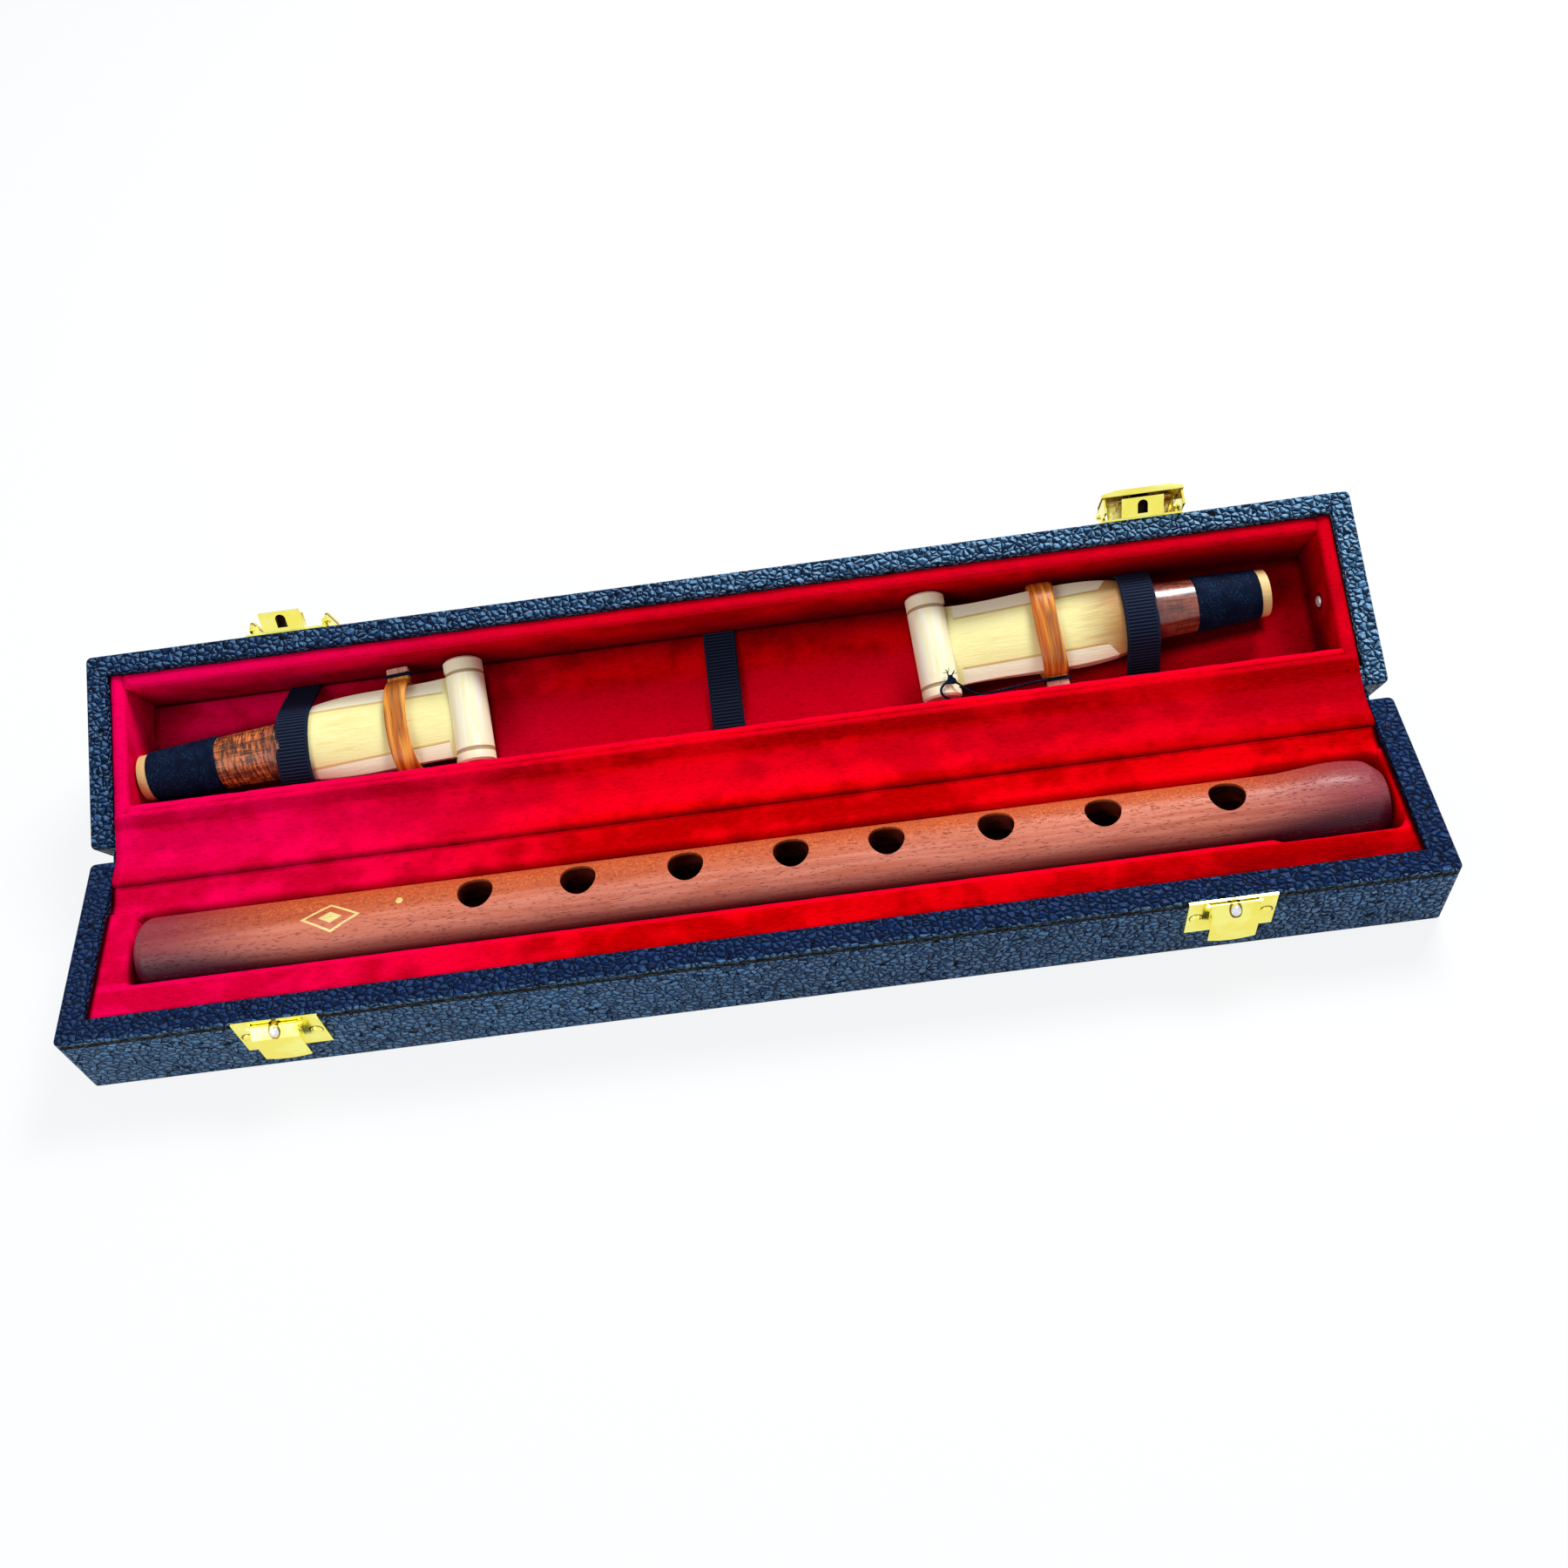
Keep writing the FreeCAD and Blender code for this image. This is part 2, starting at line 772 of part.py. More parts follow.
def band(name, node, x, foot_low, foot_high, centre, wide, tall):
    """An elastic band: from the floor, over an elliptic section, and down to the floor again."""
    thick = value("strap_thickness")
    wires = []
    for grow in (0, thick):
        a, b = wide + grow, tall + grow
        low = (foot_low[0] - grow / 2, foot_low[1])
        high = (foot_high[0] + grow / 2, foot_high[1])
        first = tangent(high, centre, a, b, -1)
        last = tangent(low, centre, a, b, 1)
        if last < first:
            last += 2 * math.pi
        curve = Part.Ellipse(Vector(0, 0, 0), a, b)
        arc = Part.Arc(curve, first, last).toShape()
        arc.Placement = Placement(Vector(centre[0], centre[1], 0), Rotation())
        wires.append((low, high, arc))
    (low_in, high_in, arc_in), (low_out, high_out, arc_out) = wires
    ends = lambda arc: (arc.valueAt(arc.FirstParameter), arc.valueAt(arc.LastParameter))
    (far_in, near_in), (far_out, near_out) = ends(arc_in), ends(arc_out)
    spot = lambda pair: Vector(pair[0], pair[1], 0)
    edges = [
        Part.makeLine(spot(high_in), far_in),
        arc_in,
        Part.makeLine(near_in, spot(low_in)),
        Part.makeLine(spot(low_in), spot(low_out)),
        Part.makeLine(spot(low_out), near_out),
        arc_out,
        Part.makeLine(far_out, spot(high_out)),
        Part.makeLine(spot(high_out), spot(high_in)),
    ]
    face = Part.Face(Part.Wire(Part.__sortEdges__(edges)))
    width = value("strap_width")
    thing = doc.addObject("Part::Feature", name)
    thing.Shape = face.extrude(Vector(0, 0, width))
    stand = Placement(Vector(x - width / 2, 0, 0), Rotation(Vector(1, 1, 1), 120))
    thing.Placement = lid_frame.multiply(stand)
    keep(thing, node)


def reed_lean(side):
    """The reed's direction in the lid's plane, in degrees: the left one points to +X, the right one to -X."""
    slant = math.degrees(math.asin(value(side + "_tip_shift") / value("reed_length")))
    return slant if side == "left" else 180 - slant


def reed_size(side, a):
    """Half width and half thickness of the cane at a place along it, between its sections."""
    rows = [("0", "tail_radius", "tail_radius", "0")] + blade_sections(side)
    table = [tuple(value(cell) for cell in row) for row in rows]
    for (a0, w0, t0, _), (a1, w1, t1, _) in zip(table, table[1:]):
        if a <= a1:
            share = (a - a0) / (a1 - a0)
            return w0 + share * (w1 - w0), t0 + share * (t1 - t0)


def straps():
    floor = value(pad_top)
    low = (value(near_face + " + strap_thickness/2"), floor)
    high = (value(far_face + " - strap_thickness/2"), floor)
    centre_w = value(reed_axis_w)
    for side in ("left", "right"):
        a = value(side + "_strap")
        lean = math.radians(reed_lean(side))
        x = value(side + "_tail_x") + a * math.cos(lean)
        u = value(side + "_tail_u") + a * math.sin(lean)
        half = value("strap_width/2")
        ends = [reed_size(side, a + half), reed_size(side, a - half)]
        wide, tall = [max(pair) + value("strap_gap") for pair in zip(*ends)]
        band("Strap" + side.title(), "reed_strap_" + side, x, low, high, (u, centre_w), wide, tall)
    middle = ((low[0] + high[0]) / 2, floor)
    thing = doc.addObject("Part::Feature", "StrapMiddle")
    rise = value("middle_strap_rise")
    thick = value("strap_thickness")
    flat = [(low[0], 0, 0), (middle[0], rise, 0), (high[0], 0, 0)]
    under = Part.Arc(*[Vector(u, floor + w, 0) for u, w, _ in flat]).toShape()
    over = Part.Arc(*[Vector(u, floor + w + thick, 0) for u, w, _ in flat]).toShape()
    edges = [under, over]
    for u, w, _ in (flat[0], flat[2]):
        edges.append(Part.makeLine(Vector(u, floor + w, 0), Vector(u, floor + w + thick, 0)))
    face = Part.Face(Part.Wire(Part.__sortEdges__(edges)))
    width = value("strap_width")
    thing.Shape = face.extrude(Vector(0, 0, width))
    stand = Placement(Vector(value("middle_strap_x") - width / 2, 0, 0), Rotation(Vector(1, 1, 1), 120))
    thing.Placement = lid_frame.multiply(stand)
    keep(thing, "reed_strap_middle")


# Flute


def flute():
    body = new_body("Flute")
    end = "flute_length"
    half = [
        ("0", "bore_radius + mouth_bevel"),
        ("0", "flute_radius"),
        (end + " - bulb_start", "flute_radius"),
        (end + " - bulb_full", "bulb_radius"),
        (end + " - bulb_shoulder", "shoulder_radius"),
        (end, "head_face_radius"),
        (end, "socket_radius + mouth_bevel"),
        (end + " - mouth_bevel", "socket_radius"),
        (end + " - socket_depth", "socket_radius"),
        (end + " - socket_depth - socket_taper", "bore_radius"),
        ("mouth_bevel", "bore_radius"),
    ]
    turned(body, half)
    round_ring(body, "foot_round", [("0", "flute_radius")])
    round_ring(body, "shoulder_blend", [("flute_length - bulb_shoulder", "shoulder_radius")])
    bulb = [("flute_length - bulb_start", "flute_radius"), ("flute_length - bulb_full", "bulb_radius")]
    round_ring(body, "bulb_blend", bulb)
    holes = []
    for i, share in enumerate(finger_hole_shares + rear_hole_shares):
        front = i < len(finger_hole_shares)
        radius = "finger_hole_radius" if front else "rear_hole_radius"
        hole = add("Cylinder", "FluteHole%d" % i, Radius=radius, Height="flute_radius + overrun")
        turn = -value("hole_lean_angle") + (0 if front else 180)
        hole.Placement = Placement(Vector(), Rotation(Vector(1, 0, 0), turn))
        bind(hole, Placement__Base__x="%s*flute_length" % share)
        holes.append(hole)
    whole = keep(cut("FluteDrilled", body, *holes), "flute_body")
    bind(whole, Placement__Base__x="-flute_foot", Placement__Base__z="flute_axis_height")


# Reeds. Each is drawn along its own X from the tail, Y across the blade, Z through it

def blade_sections(side):
    """The blade's stations: place along the reed, half width, half thickness and half its side's height."""
    neck = side + "_neck_end"
    root = "(" + neck + " + neck_flare)"
    return [
        (neck, "neck_radius - neck_step", "neck_radius - neck_step", "neck_side_height"),
        (root, "root_half_width", "root_half_thickness", "root_side_height"),
        (
            "((" + root + " + reed_length)/2)",
            "middle_half_width",
            "middle_half_thickness",
            "middle_side_height",
        ),
        ("reed_length", "tip_half_width", "tip_half_thickness", "tip_side_height"),
    ]


def blade_at(side, a):
    """Expressions for the blade's half width, half thickness and half side at a place on it."""
    rows = blade_sections(side)
    for first, last in zip(rows, rows[1:]):
        if value(a) <= value(last[0]):
            share = "((%s - %s)/(%s - %s))" % (a, first[0], last[0], first[0])
            return ["(%s + %s*(%s - %s))" % (f, share, g, f) for f, g in zip(first[1:], last[1:])]
    return rows[-1][1:]


reed_axis_w = pad_top + " + thread_radius_neck + reed_rest_gap"


def lens(name, a, wide, thick, side):
    """A blade's section: two flat sides joined by two shallow arcs, upright at a place along the reed."""
    sketch = doc.addObject("Sketcher::SketchObject", name)
    sketch.Placement = Placement(Vector(), Rotation(Vector(1, 1, 1), 120))
    bind(sketch, Placement__Base__x=a)
    w, t, half = value(wide), value(thick), value(side)
    rise = t - half
    radius = (w * w + rise * rise) / (2 * rise)
    start = math.atan2(half - t + radius, w)
    corners = [(w, -half), (w, half), (-w, half), (-w, -half)]
    sketch.addGeometry(Part.LineSegment(Vector(*corners[0], 0), Vector(*corners[1], 0)), False)
    sketch.addGeometry(arc(t - radius, radius, start, math.pi - start), False)
    sketch.addGeometry(Part.LineSegment(Vector(*corners[2], 0), Vector(*corners[3], 0)), False)
    sketch.addGeometry(arc(radius - t, radius, start - math.pi, -start), False)
    for i in range(4):
        sketch.addConstraint(Sketcher.Constraint("Coincident", i, 2, (i + 1) % 4, 1))
    for line, point, signs in ((0, 1, ("", "-")), (0, 2, ("", "")), (2, 1, ("-", "")), (2, 2, ("-", "-"))):
        place(
            sketch,
            line,
            point,
            (signs[0] + "(" + wide + ")", signs[1] + "(" + side + ")"),
            "corner%d%d" % (line, point),
        )
    for i in (1, 3):
        n = sketch.addConstraint(Sketcher.Constraint("Radius", i, radius))
        sketch.renameConstraint(n, "bow%d" % i)
        drop = "((" + thick + ") - (" + side + "))"
        sketch.setExpression("Constraints.bow%d" % i, cells("((%s)^2 + %s^2)/(2*%s)" % (wide, drop, drop)))
    return sketch


def arc(height, radius, first, last):
    return Part.ArcOfCircle(Part.Circle(Vector(0, height, 0), Vector(0, 0, 1), radius), first, last)


def loft(name, rows, ruled=False):
    """A solid through upright lens sections, each given by its place and its three half sizes."""
    thing = doc.addObject("Part::Loft", name)
    thing.Sections = [lens(name + "Section%d" % i, *row) for i, row in enumerate(rows)]
    thing.Solid = True
    thing.Ruled = ruled
    return thing


def tail_cone(name, first, last, radius1, radius2):
    cone = add("Cone", name, Radius1=radius1, Radius2=radius2, Height=last + " - (" + first + ")")
    cone.Placement = Placement(Vector(), Rotation(Vector(0, 1, 0), 90))
    bind(cone, Placement__Base__x=first)
    return cone


def slit(name, neck):
    """The blade's hollow: a wedge from the neck's bore to the narrow mouth between the two lips."""
    thing = doc.addObject("Part::Wedge", name)
    bind(
        thing,
        Ymin=neck + " - overrun",
        Ymax="reed_length + overrun/4",
        Xmin="-root_slit_half_width",
        Xmax="root_slit_half_width",
        Zmin="-root_slit_half",
        Zmax="root_slit_half",
        X2min="-tip_slit_half_width",
        X2max="tip_slit_half_width",
        Z2min="-tip_slit_half",
        Z2max="tip_slit_half",
    )
    thing.Placement = Placement(Vector(), Rotation(Vector(0, 0, 1), -90))
    return thing


def reed(side):
    title = side.title()
    spot = Vector(value(side + "_tail_x"), value(side + "_tail_u"), value(reed_axis_w))
    stand = lid_frame.multiply(Placement(spot, Rotation(Vector(0, 0, 1), reed_lean(side))))

    def seat(thing, node):
        thing.Placement = stand
        return keep(thing, node)

    neck = side + "_neck_end"
    tail = tail_cone(title + "Tail", "0", neck, "tail_radius", "neck_radius")
    bore = tail_cone(title + "TailBore", "-overrun", neck, "tail_bore_radius", "neck_radius - cane_wall")
    cane = fuse(title + "CaneForm", tail, loft(title + "Blade", blade_sections(side)))
    hollow = fuse(title + "CaneHollow", bore, slit(title + "Slit", neck))
    seat(cut(title + "Cane", cane, hollow), "reed_%s_cane" % side)
    wrap = tail_cone(
        title + "Wrap", "ring_length", side + "_thread_end", "thread_radius_tail", "thread_radius_neck"
    )
    seat(cut(title + "Thread", wrap, tail), "reed_%s_thread" % side)
    bridle(side, title, seat)
    cap(side, title, seat)


def bridle(side, title, seat):
    middle = side + "_bridle_distance"
    first = "(" + middle + " - bridle_width/2)"
    last = "(" + middle + " + bridle_width/2)"
    inner_wide = blade_at(side, "(" + last + " + bridle_travel)")[0] + " + bridle_gap"
    inner_thick, inner_side = [
        half + " + bridle_gap" for half in blade_at(side, "(" + first + " - bridle_travel)")[1:]
    ]
    inner = (inner_wide, inner_thick, inner_side)
    outer = [half + " + bridle_thickness" for half in inner]
    form = loft(title + "HoopForm", [(end, *outer) for end in (first, last)], True)
    hole = loft(title + "HoopHole", [(first + " - overrun", *inner), (last + " + overrun", *inner)], True)
    hoop = cut(title + "Hoop", form, hole)
    out = "(" + inner_wide + " + bridle_thickness)"
    stub = add(
        "Box",
        title + "Stub",
        Length="stub_width",
        Width="stub_length + bridle_thickness/2",
        Height="stub_thickness",
    )
    bind(
        stub,
        Placement__Base__x=middle + " - stub_width/2",
        Placement__Base__y=out + " - bridle_thickness/2",
        Placement__Base__z="-stub_thickness/2",
    )
    seat(fuse(title + "BridleForm", hoop, stub), "reed_%s_bridle" % side)
    tie = add(
        "Box",
        title + "TieForm",
        Length="stub_width + 2*tie_thickness",
        Width="tie_width",
        Height="stub_thickness + 2*tie_thickness",
    )
    bind(
        tie,
        Placement__Base__x=middle + " - stub_width/2 - tie_thickness",
        Placement__Base__y=out + " + tie_thickness",
        Placement__Base__z="-stub_thickness/2 - tie_thickness",
    )
    seat(cut(title + "Tie", tie, stub), "reed_%s_bridle_tie" % side)
    if side == "right":
        seat(tether(out), "reed_right_tether")


def cap(side, title, seat):
    body = new_body(title + "CapStick")
    half = "(cap_length/2)"
    groove = "(" + half + " - cap_groove_distance)"
    wide = "cap_groove_width/2"
    deep = "cap_radius - cap_groove_depth"
    right = [
        (groove + " - " + wide, "cap_radius"),
        (groove, deep),
        (groove + " + " + wide, "cap_radius"),
        (half + " - cap_end_bevel", "cap_radius"),
        (half, "cap_radius - cap_end_bevel"),
        (half, "0"),
    ]
    left = [("-" + x, r) for x, r in reversed(right)]
    left = [("-(" + x[1:] + ")", r) for x, r in left]
    turned(body, left + right)
    body.Placement = Placement(Vector(), Rotation(Vector(0, 0, 1), 90))
    bind(
        body,
        Placement__Base__x="reed_length - cap_cover + cap_radius",
        Placement__Base__y=side + "_cap_shift",
    )
    mouth = "(reed_length - cap_cover)"
    slot_half = blade_at(side, mouth)[1] + " + cap_slot_gap"
    slot_wide = "(tip_half_width + cap_slot_side)"
    slot = add(
        "Box",
        title + "CapSlot",
        Length="cap_cover + cap_slot_gap + overrun",
        Width="2*" + slot_wide,
        Height="2*(" + slot_half + ")",
    )
    bind(
        slot,
        Placement__Base__x=mouth + " - overrun",
        Placement__Base__y="-" + slot_wide,
        Placement__Base__z="-(" + slot_half + ")",
    )
    seat(cut(title + "Cap", body, slot), "reed_%s_cap" % side)


def tether(out):
    """The thread that keeps the right reed's cap: from the bridle's tie, round the cap's end, to a knot."""
    start = value("right_bridle_distance + stub_width/2 + tie_thickness + tether_gap")
    tie = value(out + " + tie_thickness + tie_width/2")
    axis = value("reed_length - cap_cover + cap_radius")
    edge = value("cap_length/2 + right_cap_shift")
    out_past = edge + value("tether_beside") - tie
    over = value("cap_radius + tether_over")
    inset = value("tether_knot_inset")
    run = axis - start
    points = [Vector(start + run * a, tie + out_past * b, over * c) for a, b, c in tether_run_shares]
    points += [Vector(axis + inset * a, edge - inset * b, over * c) for a, b, c in tether_wrap_shares]
    path = Part.Wire(rounded_path(points))
    first = path.Edges[0]
    ring = Part.makeCircle(value("tether_radius"), points[0], first.tangentAt(first.FirstParameter))
    thing = doc.addObject("Part::Feature", "Tether")
    thing.Shape = path.makePipeShell([Part.Wire(ring)], True, True)
    section = math.pi * value("tether_radius") ** 2
    print(
        "tether %.1f mm long, volume %.3f of section by length" % (
            path.Length, thing.Shape.Volume / (section * path.Length)
        )
    )
    return thing


def rounded_path(points):
    """Straight runs joined by tangent arcs, each arc as large as its two runs allow."""
    edges = []
    here = points[0]
    for before, corner, after in zip(points, points[1:], points[2:]):
        back = (before - corner).normalize()
        on = (after - corner).normalize()
        reach = 0.45 * min((before - corner).Length, (after - corner).Length)
        turn = math.pi - back.getAngle(on)
        radius = reach / math.tan(turn / 2)
        inward = (back + on).normalize()
        centre = corner + inward * math.hypot(radius, reach)
        edges.append(Part.makeLine(here, corner + back * reach))
        edges.append(Part.Arc(corner + back * reach, centre - inward * radius, corner + on * reach).toShape())
        here = corner + on * reach
        print("tether bend radius %.1f mm" % radius)
    return edges + [Part.makeLine(here, points[-1])]


# Latches. Each is drawn about its own middle: Y is minus the distance out from the case's front face

pin_z = "(base_height - plate_drop - latch_pin_drop)"
ramp_sum = "(latch_pin_out + %s + knuckle_radius*sqrt(2))" % pin_z
corner_z = "(" + ramp_sum + " - lever_out)"
stud_out = "(latch_pin_out + knuckle_radius/sqrt(2) + rivet_distance/sqrt(2))"
stud_z = "(" + ramp_sum + " - " + stud_out + ")"


def flip_y(points):
    return [("-(" + o + ")", z) for o, z in points]


def on_front(thing, x, node):
    bind(thing, Placement__Base__x=x, Placement__Base__y="-case_width/2")
    return keep(thing, node)


def base_latch(side, x):
    name = side.title()
    plate = new_body("LatchPlate" + name)
    low = "base_height - plate_drop - plate_height"
    high = "base_height - plate_drop"
    holes = [(sign + "screw_spread", high + " - screw_drop", "screw_radius") for sign in ("-", "")]
    face = outline(plate, "XZ", rectangle("-plate_width/2", "plate_width/2", low, high), "0", holes)
    feature(plate, "Pad", face, Length="metal_thickness")
    ear = flip_y([
        ("metal_thickness/2", pin_z + " - 2*knuckle_radius"),
        ("latch_pin_out + knuckle_radius", pin_z + " - knuckle_radius"),
        ("latch_pin_out + knuckle_radius", pin_z + " + knuckle_radius/2"),
        ("latch_pin_out + knuckle_radius/2", pin_z + " + knuckle_radius"),
        ("metal_thickness/2", pin_z + " + knuckle_radius"),
    ])
    hole = [("-latch_pin_out", pin_z, "pin_radius")]
    for start in ("lever_width/2 + lever_ear_gap", "-lever_width/2 - lever_ear_gap - metal_thickness"):
        feature(plate, "Pad", outline(plate, "YZ", ear, start, hole), Length="metal_thickness")
    on_front(plate, x, "latch_plate_" + side)

    lever = new_body("Lever" + name)
    skin = "lever_thickness"
    profile = flip_y([
        ("latch_pin_out + knuckle_radius/sqrt(2)", pin_z + " + knuckle_radius/sqrt(2)"),
        ("lever_out", corner_z),
        ("lever_out", "lever_bottom"),
        ("lever_out - " + skin, "lever_bottom"),
        ("lever_out - " + skin, corner_z + " - " + skin + "*(sqrt(2) - 1)"),
        (
            "latch_pin_out + (knuckle_radius - " + skin + ")/sqrt(2)",
            pin_z + " + (knuckle_radius - " + skin + ")/sqrt(2)",
        ),
    ])
    feature(lever, "Pad", outline(lever, "YZ", profile, "-lever_width/2"), Length="lever_width")
    cheek = flip_y([
        ("latch_pin_out", pin_z),
        ("lever_out - " + skin + "/2", corner_z + " - " + skin + "/2"),
        ("lever_out - " + skin + "/2", pin_z + " - cheek_drop"),
        ("latch_pin_out + knuckle_radius", pin_z + " - cheek_drop"),
    ])
    for start in ("lever_width/2 - lever_thickness", "-lever_width/2"):
        feature(lever, "Pad", outline(lever, "YZ", cheek, start), Length="lever_thickness")
    knuckle = add("Cylinder", "Knuckle" + name, Radius="knuckle_radius", Height="lever_width")
    pin_hole = add(
        "Cylinder", "PinHole" + name, Radius="pin_radius + pin_gap", Height="lever_width + 2*overrun"
    )
    rivet_hole = add("Cylinder", "RivetHole" + name, Radius="rivet_radius", Height="4*lever_thickness")
    for rod, start in ((knuckle, "-lever_width/2"), (pin_hole, "-lever_width/2 - overrun")):
        rod.Placement = Placement(Vector(), Rotation(Vector(0, 1, 0), 90))
        bind(rod, Placement__Base__x=start, Placement__Base__y="-latch_pin_out", Placement__Base__z=pin_z)
    rivet_hole.Placement = Placement(Vector(), Rotation(Vector(1, 0, 0), 45))
    bind(
        rivet_hole,
        Placement__Base__y="-(" + stud_out + " - 2*lever_thickness/sqrt(2))",
        Placement__Base__z=stud_z + " - 2*lever_thickness/sqrt(2)",
    )
    bow = bowed(
        "LeverFoot" + name, lever, "lever_bow_radius", "-2*lever_out", "lever_bottom + lever_bow_radius"
    )
    made = cut("LeverCut" + name, fuse("LeverForm" + name, bow, knuckle), pin_hole, rivet_hole)
    on_front(made, x, "latch_lever_" + side)

    stud = new_body("Stud" + name)
    half = [
        ("-lever_thickness", "0"),
        ("-lever_thickness", "rivet_radius"),
        ("0", "rivet_radius"),
        ("0", "stud_radius"),
        ("stud_height/2", "stud_radius"),
        ("stud_height*0.85", "stud_radius*0.72"),
        ("stud_height", "stud_radius*0.3"),
        ("stud_height", "0"),
    ]
    turned(stud, half)
    stud.Placement = Placement(Vector(), rotation_to(Vector(0, -1, 1)))
    bind(
        stud,
        Placement__Base__x=x,
        Placement__Base__y="-case_width/2 - " + stud_out,
        Placement__Base__z=stud_z,
    )
    keep(stud, "latch_stud_" + side)


def bowed(name, body, radius, start, middle):
    """What a wide round drum along Y leaves of a body: its straight edge becomes a shallow bow."""
    drum = add("Cylinder", name + "Drum", Radius=radius, Height="4*(cover_out + lever_out)")
    drum.Placement = Placement(Vector(), Rotation(Vector(1, 0, 0), -90))
    bind(drum, Placement__Base__y=start, Placement__Base__z=middle)
    thing = doc.addObject("Part::Common", name)
    thing.Base = body
    thing.Tool = drum
    return thing


def rotation_to(direction):
    """Turns the body's X axis to a direction."""
    return Rotation(Vector(1, 0, 0), direction)


def latch_pins():
    pins = []
    for i, x in enumerate(("-latch_distance", "latch_distance")):
        half = "(lever_width/2 + lever_ear_gap + metal_thickness + pin_radius)"
        pin = add("Cylinder", "LatchPin%d" % i, Radius="pin_radius", Height="2*" + half)
        pin.Placement = Placement(Vector(), Rotation(Vector(0, 1, 0), 90))
        bind(
            pin,
            Placement__Base__x=x + " - " + half,
            Placement__Base__y="-case_width/2 - latch_pin_out",
            Placement__Base__z=pin_z,
        )
        pins.append(pin)
    keep(group("LatchPins", *pins), "latch_pins")


def screw(name):
    """A small round-headed screw, its shank along X from the tip to the head."""
    body = new_body(name)
    half = [
        ("-screw_length", "0"),
        ("-screw_length", "screw_radius/2"),
        ("-screw_length + screw_radius", "screw_radius"),
        ("metal_thickness", "screw_radius"),
        ("metal_thickness", "screw_head_radius"),
        ("metal_thickness + screw_head_height/2", "screw_head_radius*0.9"),
        ("metal_thickness + screw_head_height", "screw_head_radius/2"),
        ("metal_thickness + screw_head_height", "0"),
    ]
    turned(body, half)
    return body


def latch_screws():
    made = []
    for i, x in enumerate(screw_x):
        body = screw("BaseScrew%d" % i)
        body.Placement = Placement(Vector(), rotation_to(Vector(0, -1, 0)))
        bind(
            body,
            Placement__Base__x=x,
            Placement__Base__y="-case_width/2",
            Placement__Base__z="base_height - plate_drop - screw_drop",
        )
        made.append(body)
    keep(group("BaseScrews", *made), "latch_screws")


# Hasps on the lid. Each is drawn in the lid's frame about its own middle: Y is out from the front face

tab_inner = "(base_height + closed_gap - " + ramp_sum + " - tab_gap*sqrt(2))"
slot_out = "(" + stud_out + " + tab_gap/sqrt(2))"
slot_rise = "(" + slot_out + " + " + tab_inner + ")"
screw_w = "-(plate_drop + hasp_screw_drop)"


def lid_hasp(side, x):
    name = side.title()
    stand = Placement(in_lid(value(x), value("case_width"), 0), lid_frame.Rotation)
    plate = new_body("HaspPlate" + name)
    low = "-plate_drop - plate_height"
    high = tab_inner + " + metal_thickness/2"
    holes = [(sign + "screw_spread", screw_w, "screw_radius") for sign in ("-", "")]
    face = outline(
        plate, "XZ", rectangle("-plate_width/2", "plate_width/2", low, high), "-metal_thickness", holes
    )
    feature(plate, "Pad", face, Length="metal_thickness")
    reach = "(" + slot_out + " + tab_beyond_stud/sqrt(2))"
    thick = "tab_thickness/sqrt(2)"
    tab = [
        ("0", tab_inner),
        (reach, tab_inner + " + " + reach),
        (reach + " + " + thick, tab_inner + " + " + reach + " - " + thick),
        ("0", tab_inner + " - 2*" + thick),
    ]
    feature(plate, "Pad", outline(plate, "YZ", tab, "-tab_width/2"), Length="tab_width")
    ear = [
        ("metal_thickness/2", "-cover_pivot_drop - ear_foot_share*ear_radius"),
        ("cover_pivot_out", "-cover_pivot_drop - ear_radius"),
        ("cover_pivot_out + ear_radius/sqrt(2)", "-cover_pivot_drop - ear_radius/sqrt(2)"),
        ("cover_pivot_out + ear_radius", "-cover_pivot_drop"),
        ("cover_pivot_out + ear_radius/sqrt(2)", "-cover_pivot_drop + ear_radius/sqrt(2)"),
        ("cover_pivot_out", "-cover_pivot_drop + ear_radius"),
        ("metal_thickness/2", "-cover_pivot_drop + ear_foot_share*ear_radius"),
    ]
    hole = [("cover_pivot_out", "-cover_pivot_drop", "pin_radius")]
    for start in (ear_out + " - metal_thickness", "-" + ear_out):
        feature(plate, "Pad", outline(plate, "YZ", ear, start, circles=hole), Length="metal_thickness")
    slot_round = add("Cylinder", "SlotEnd" + name, Radius="stud_radius + slot_gap", Height="8*tab_thickness")
    slot_run = add(
        "Box",
        "SlotRun" + name,
        Length="2*(stud_radius + slot_gap)",
        Width="slot_open",
        Height="8*tab_thickness",
    )
    tilted = Placement(Vector(), Rotation(Vector(1, 0, 0), 45))
    slot_round.Placement = tilted
    slot_run.Placement = tilted
    deep = "4*tab_thickness/sqrt(2)"
    run = "slot_open/sqrt(2)"
    bind(slot_round, Placement__Base__y=slot_out + " + " + deep, Placement__Base__z=slot_rise + " - " + deep)
    bind(
        slot_run,
        Placement__Base__x="-(stud_radius + slot_gap)",
        Placement__Base__y=slot_out + " + " + deep + " - " + run,
        Placement__Base__z=slot_rise + " - " + deep + " - " + run,
    )
    made = cut("HaspCut" + name, plate, slot_round, slot_run)
    made.Placement = stand
    keep(made, "hasp_plate_" + side)
    return stand


ear_out = "(plate_width/2 - metal_thickness - ear_gap)"


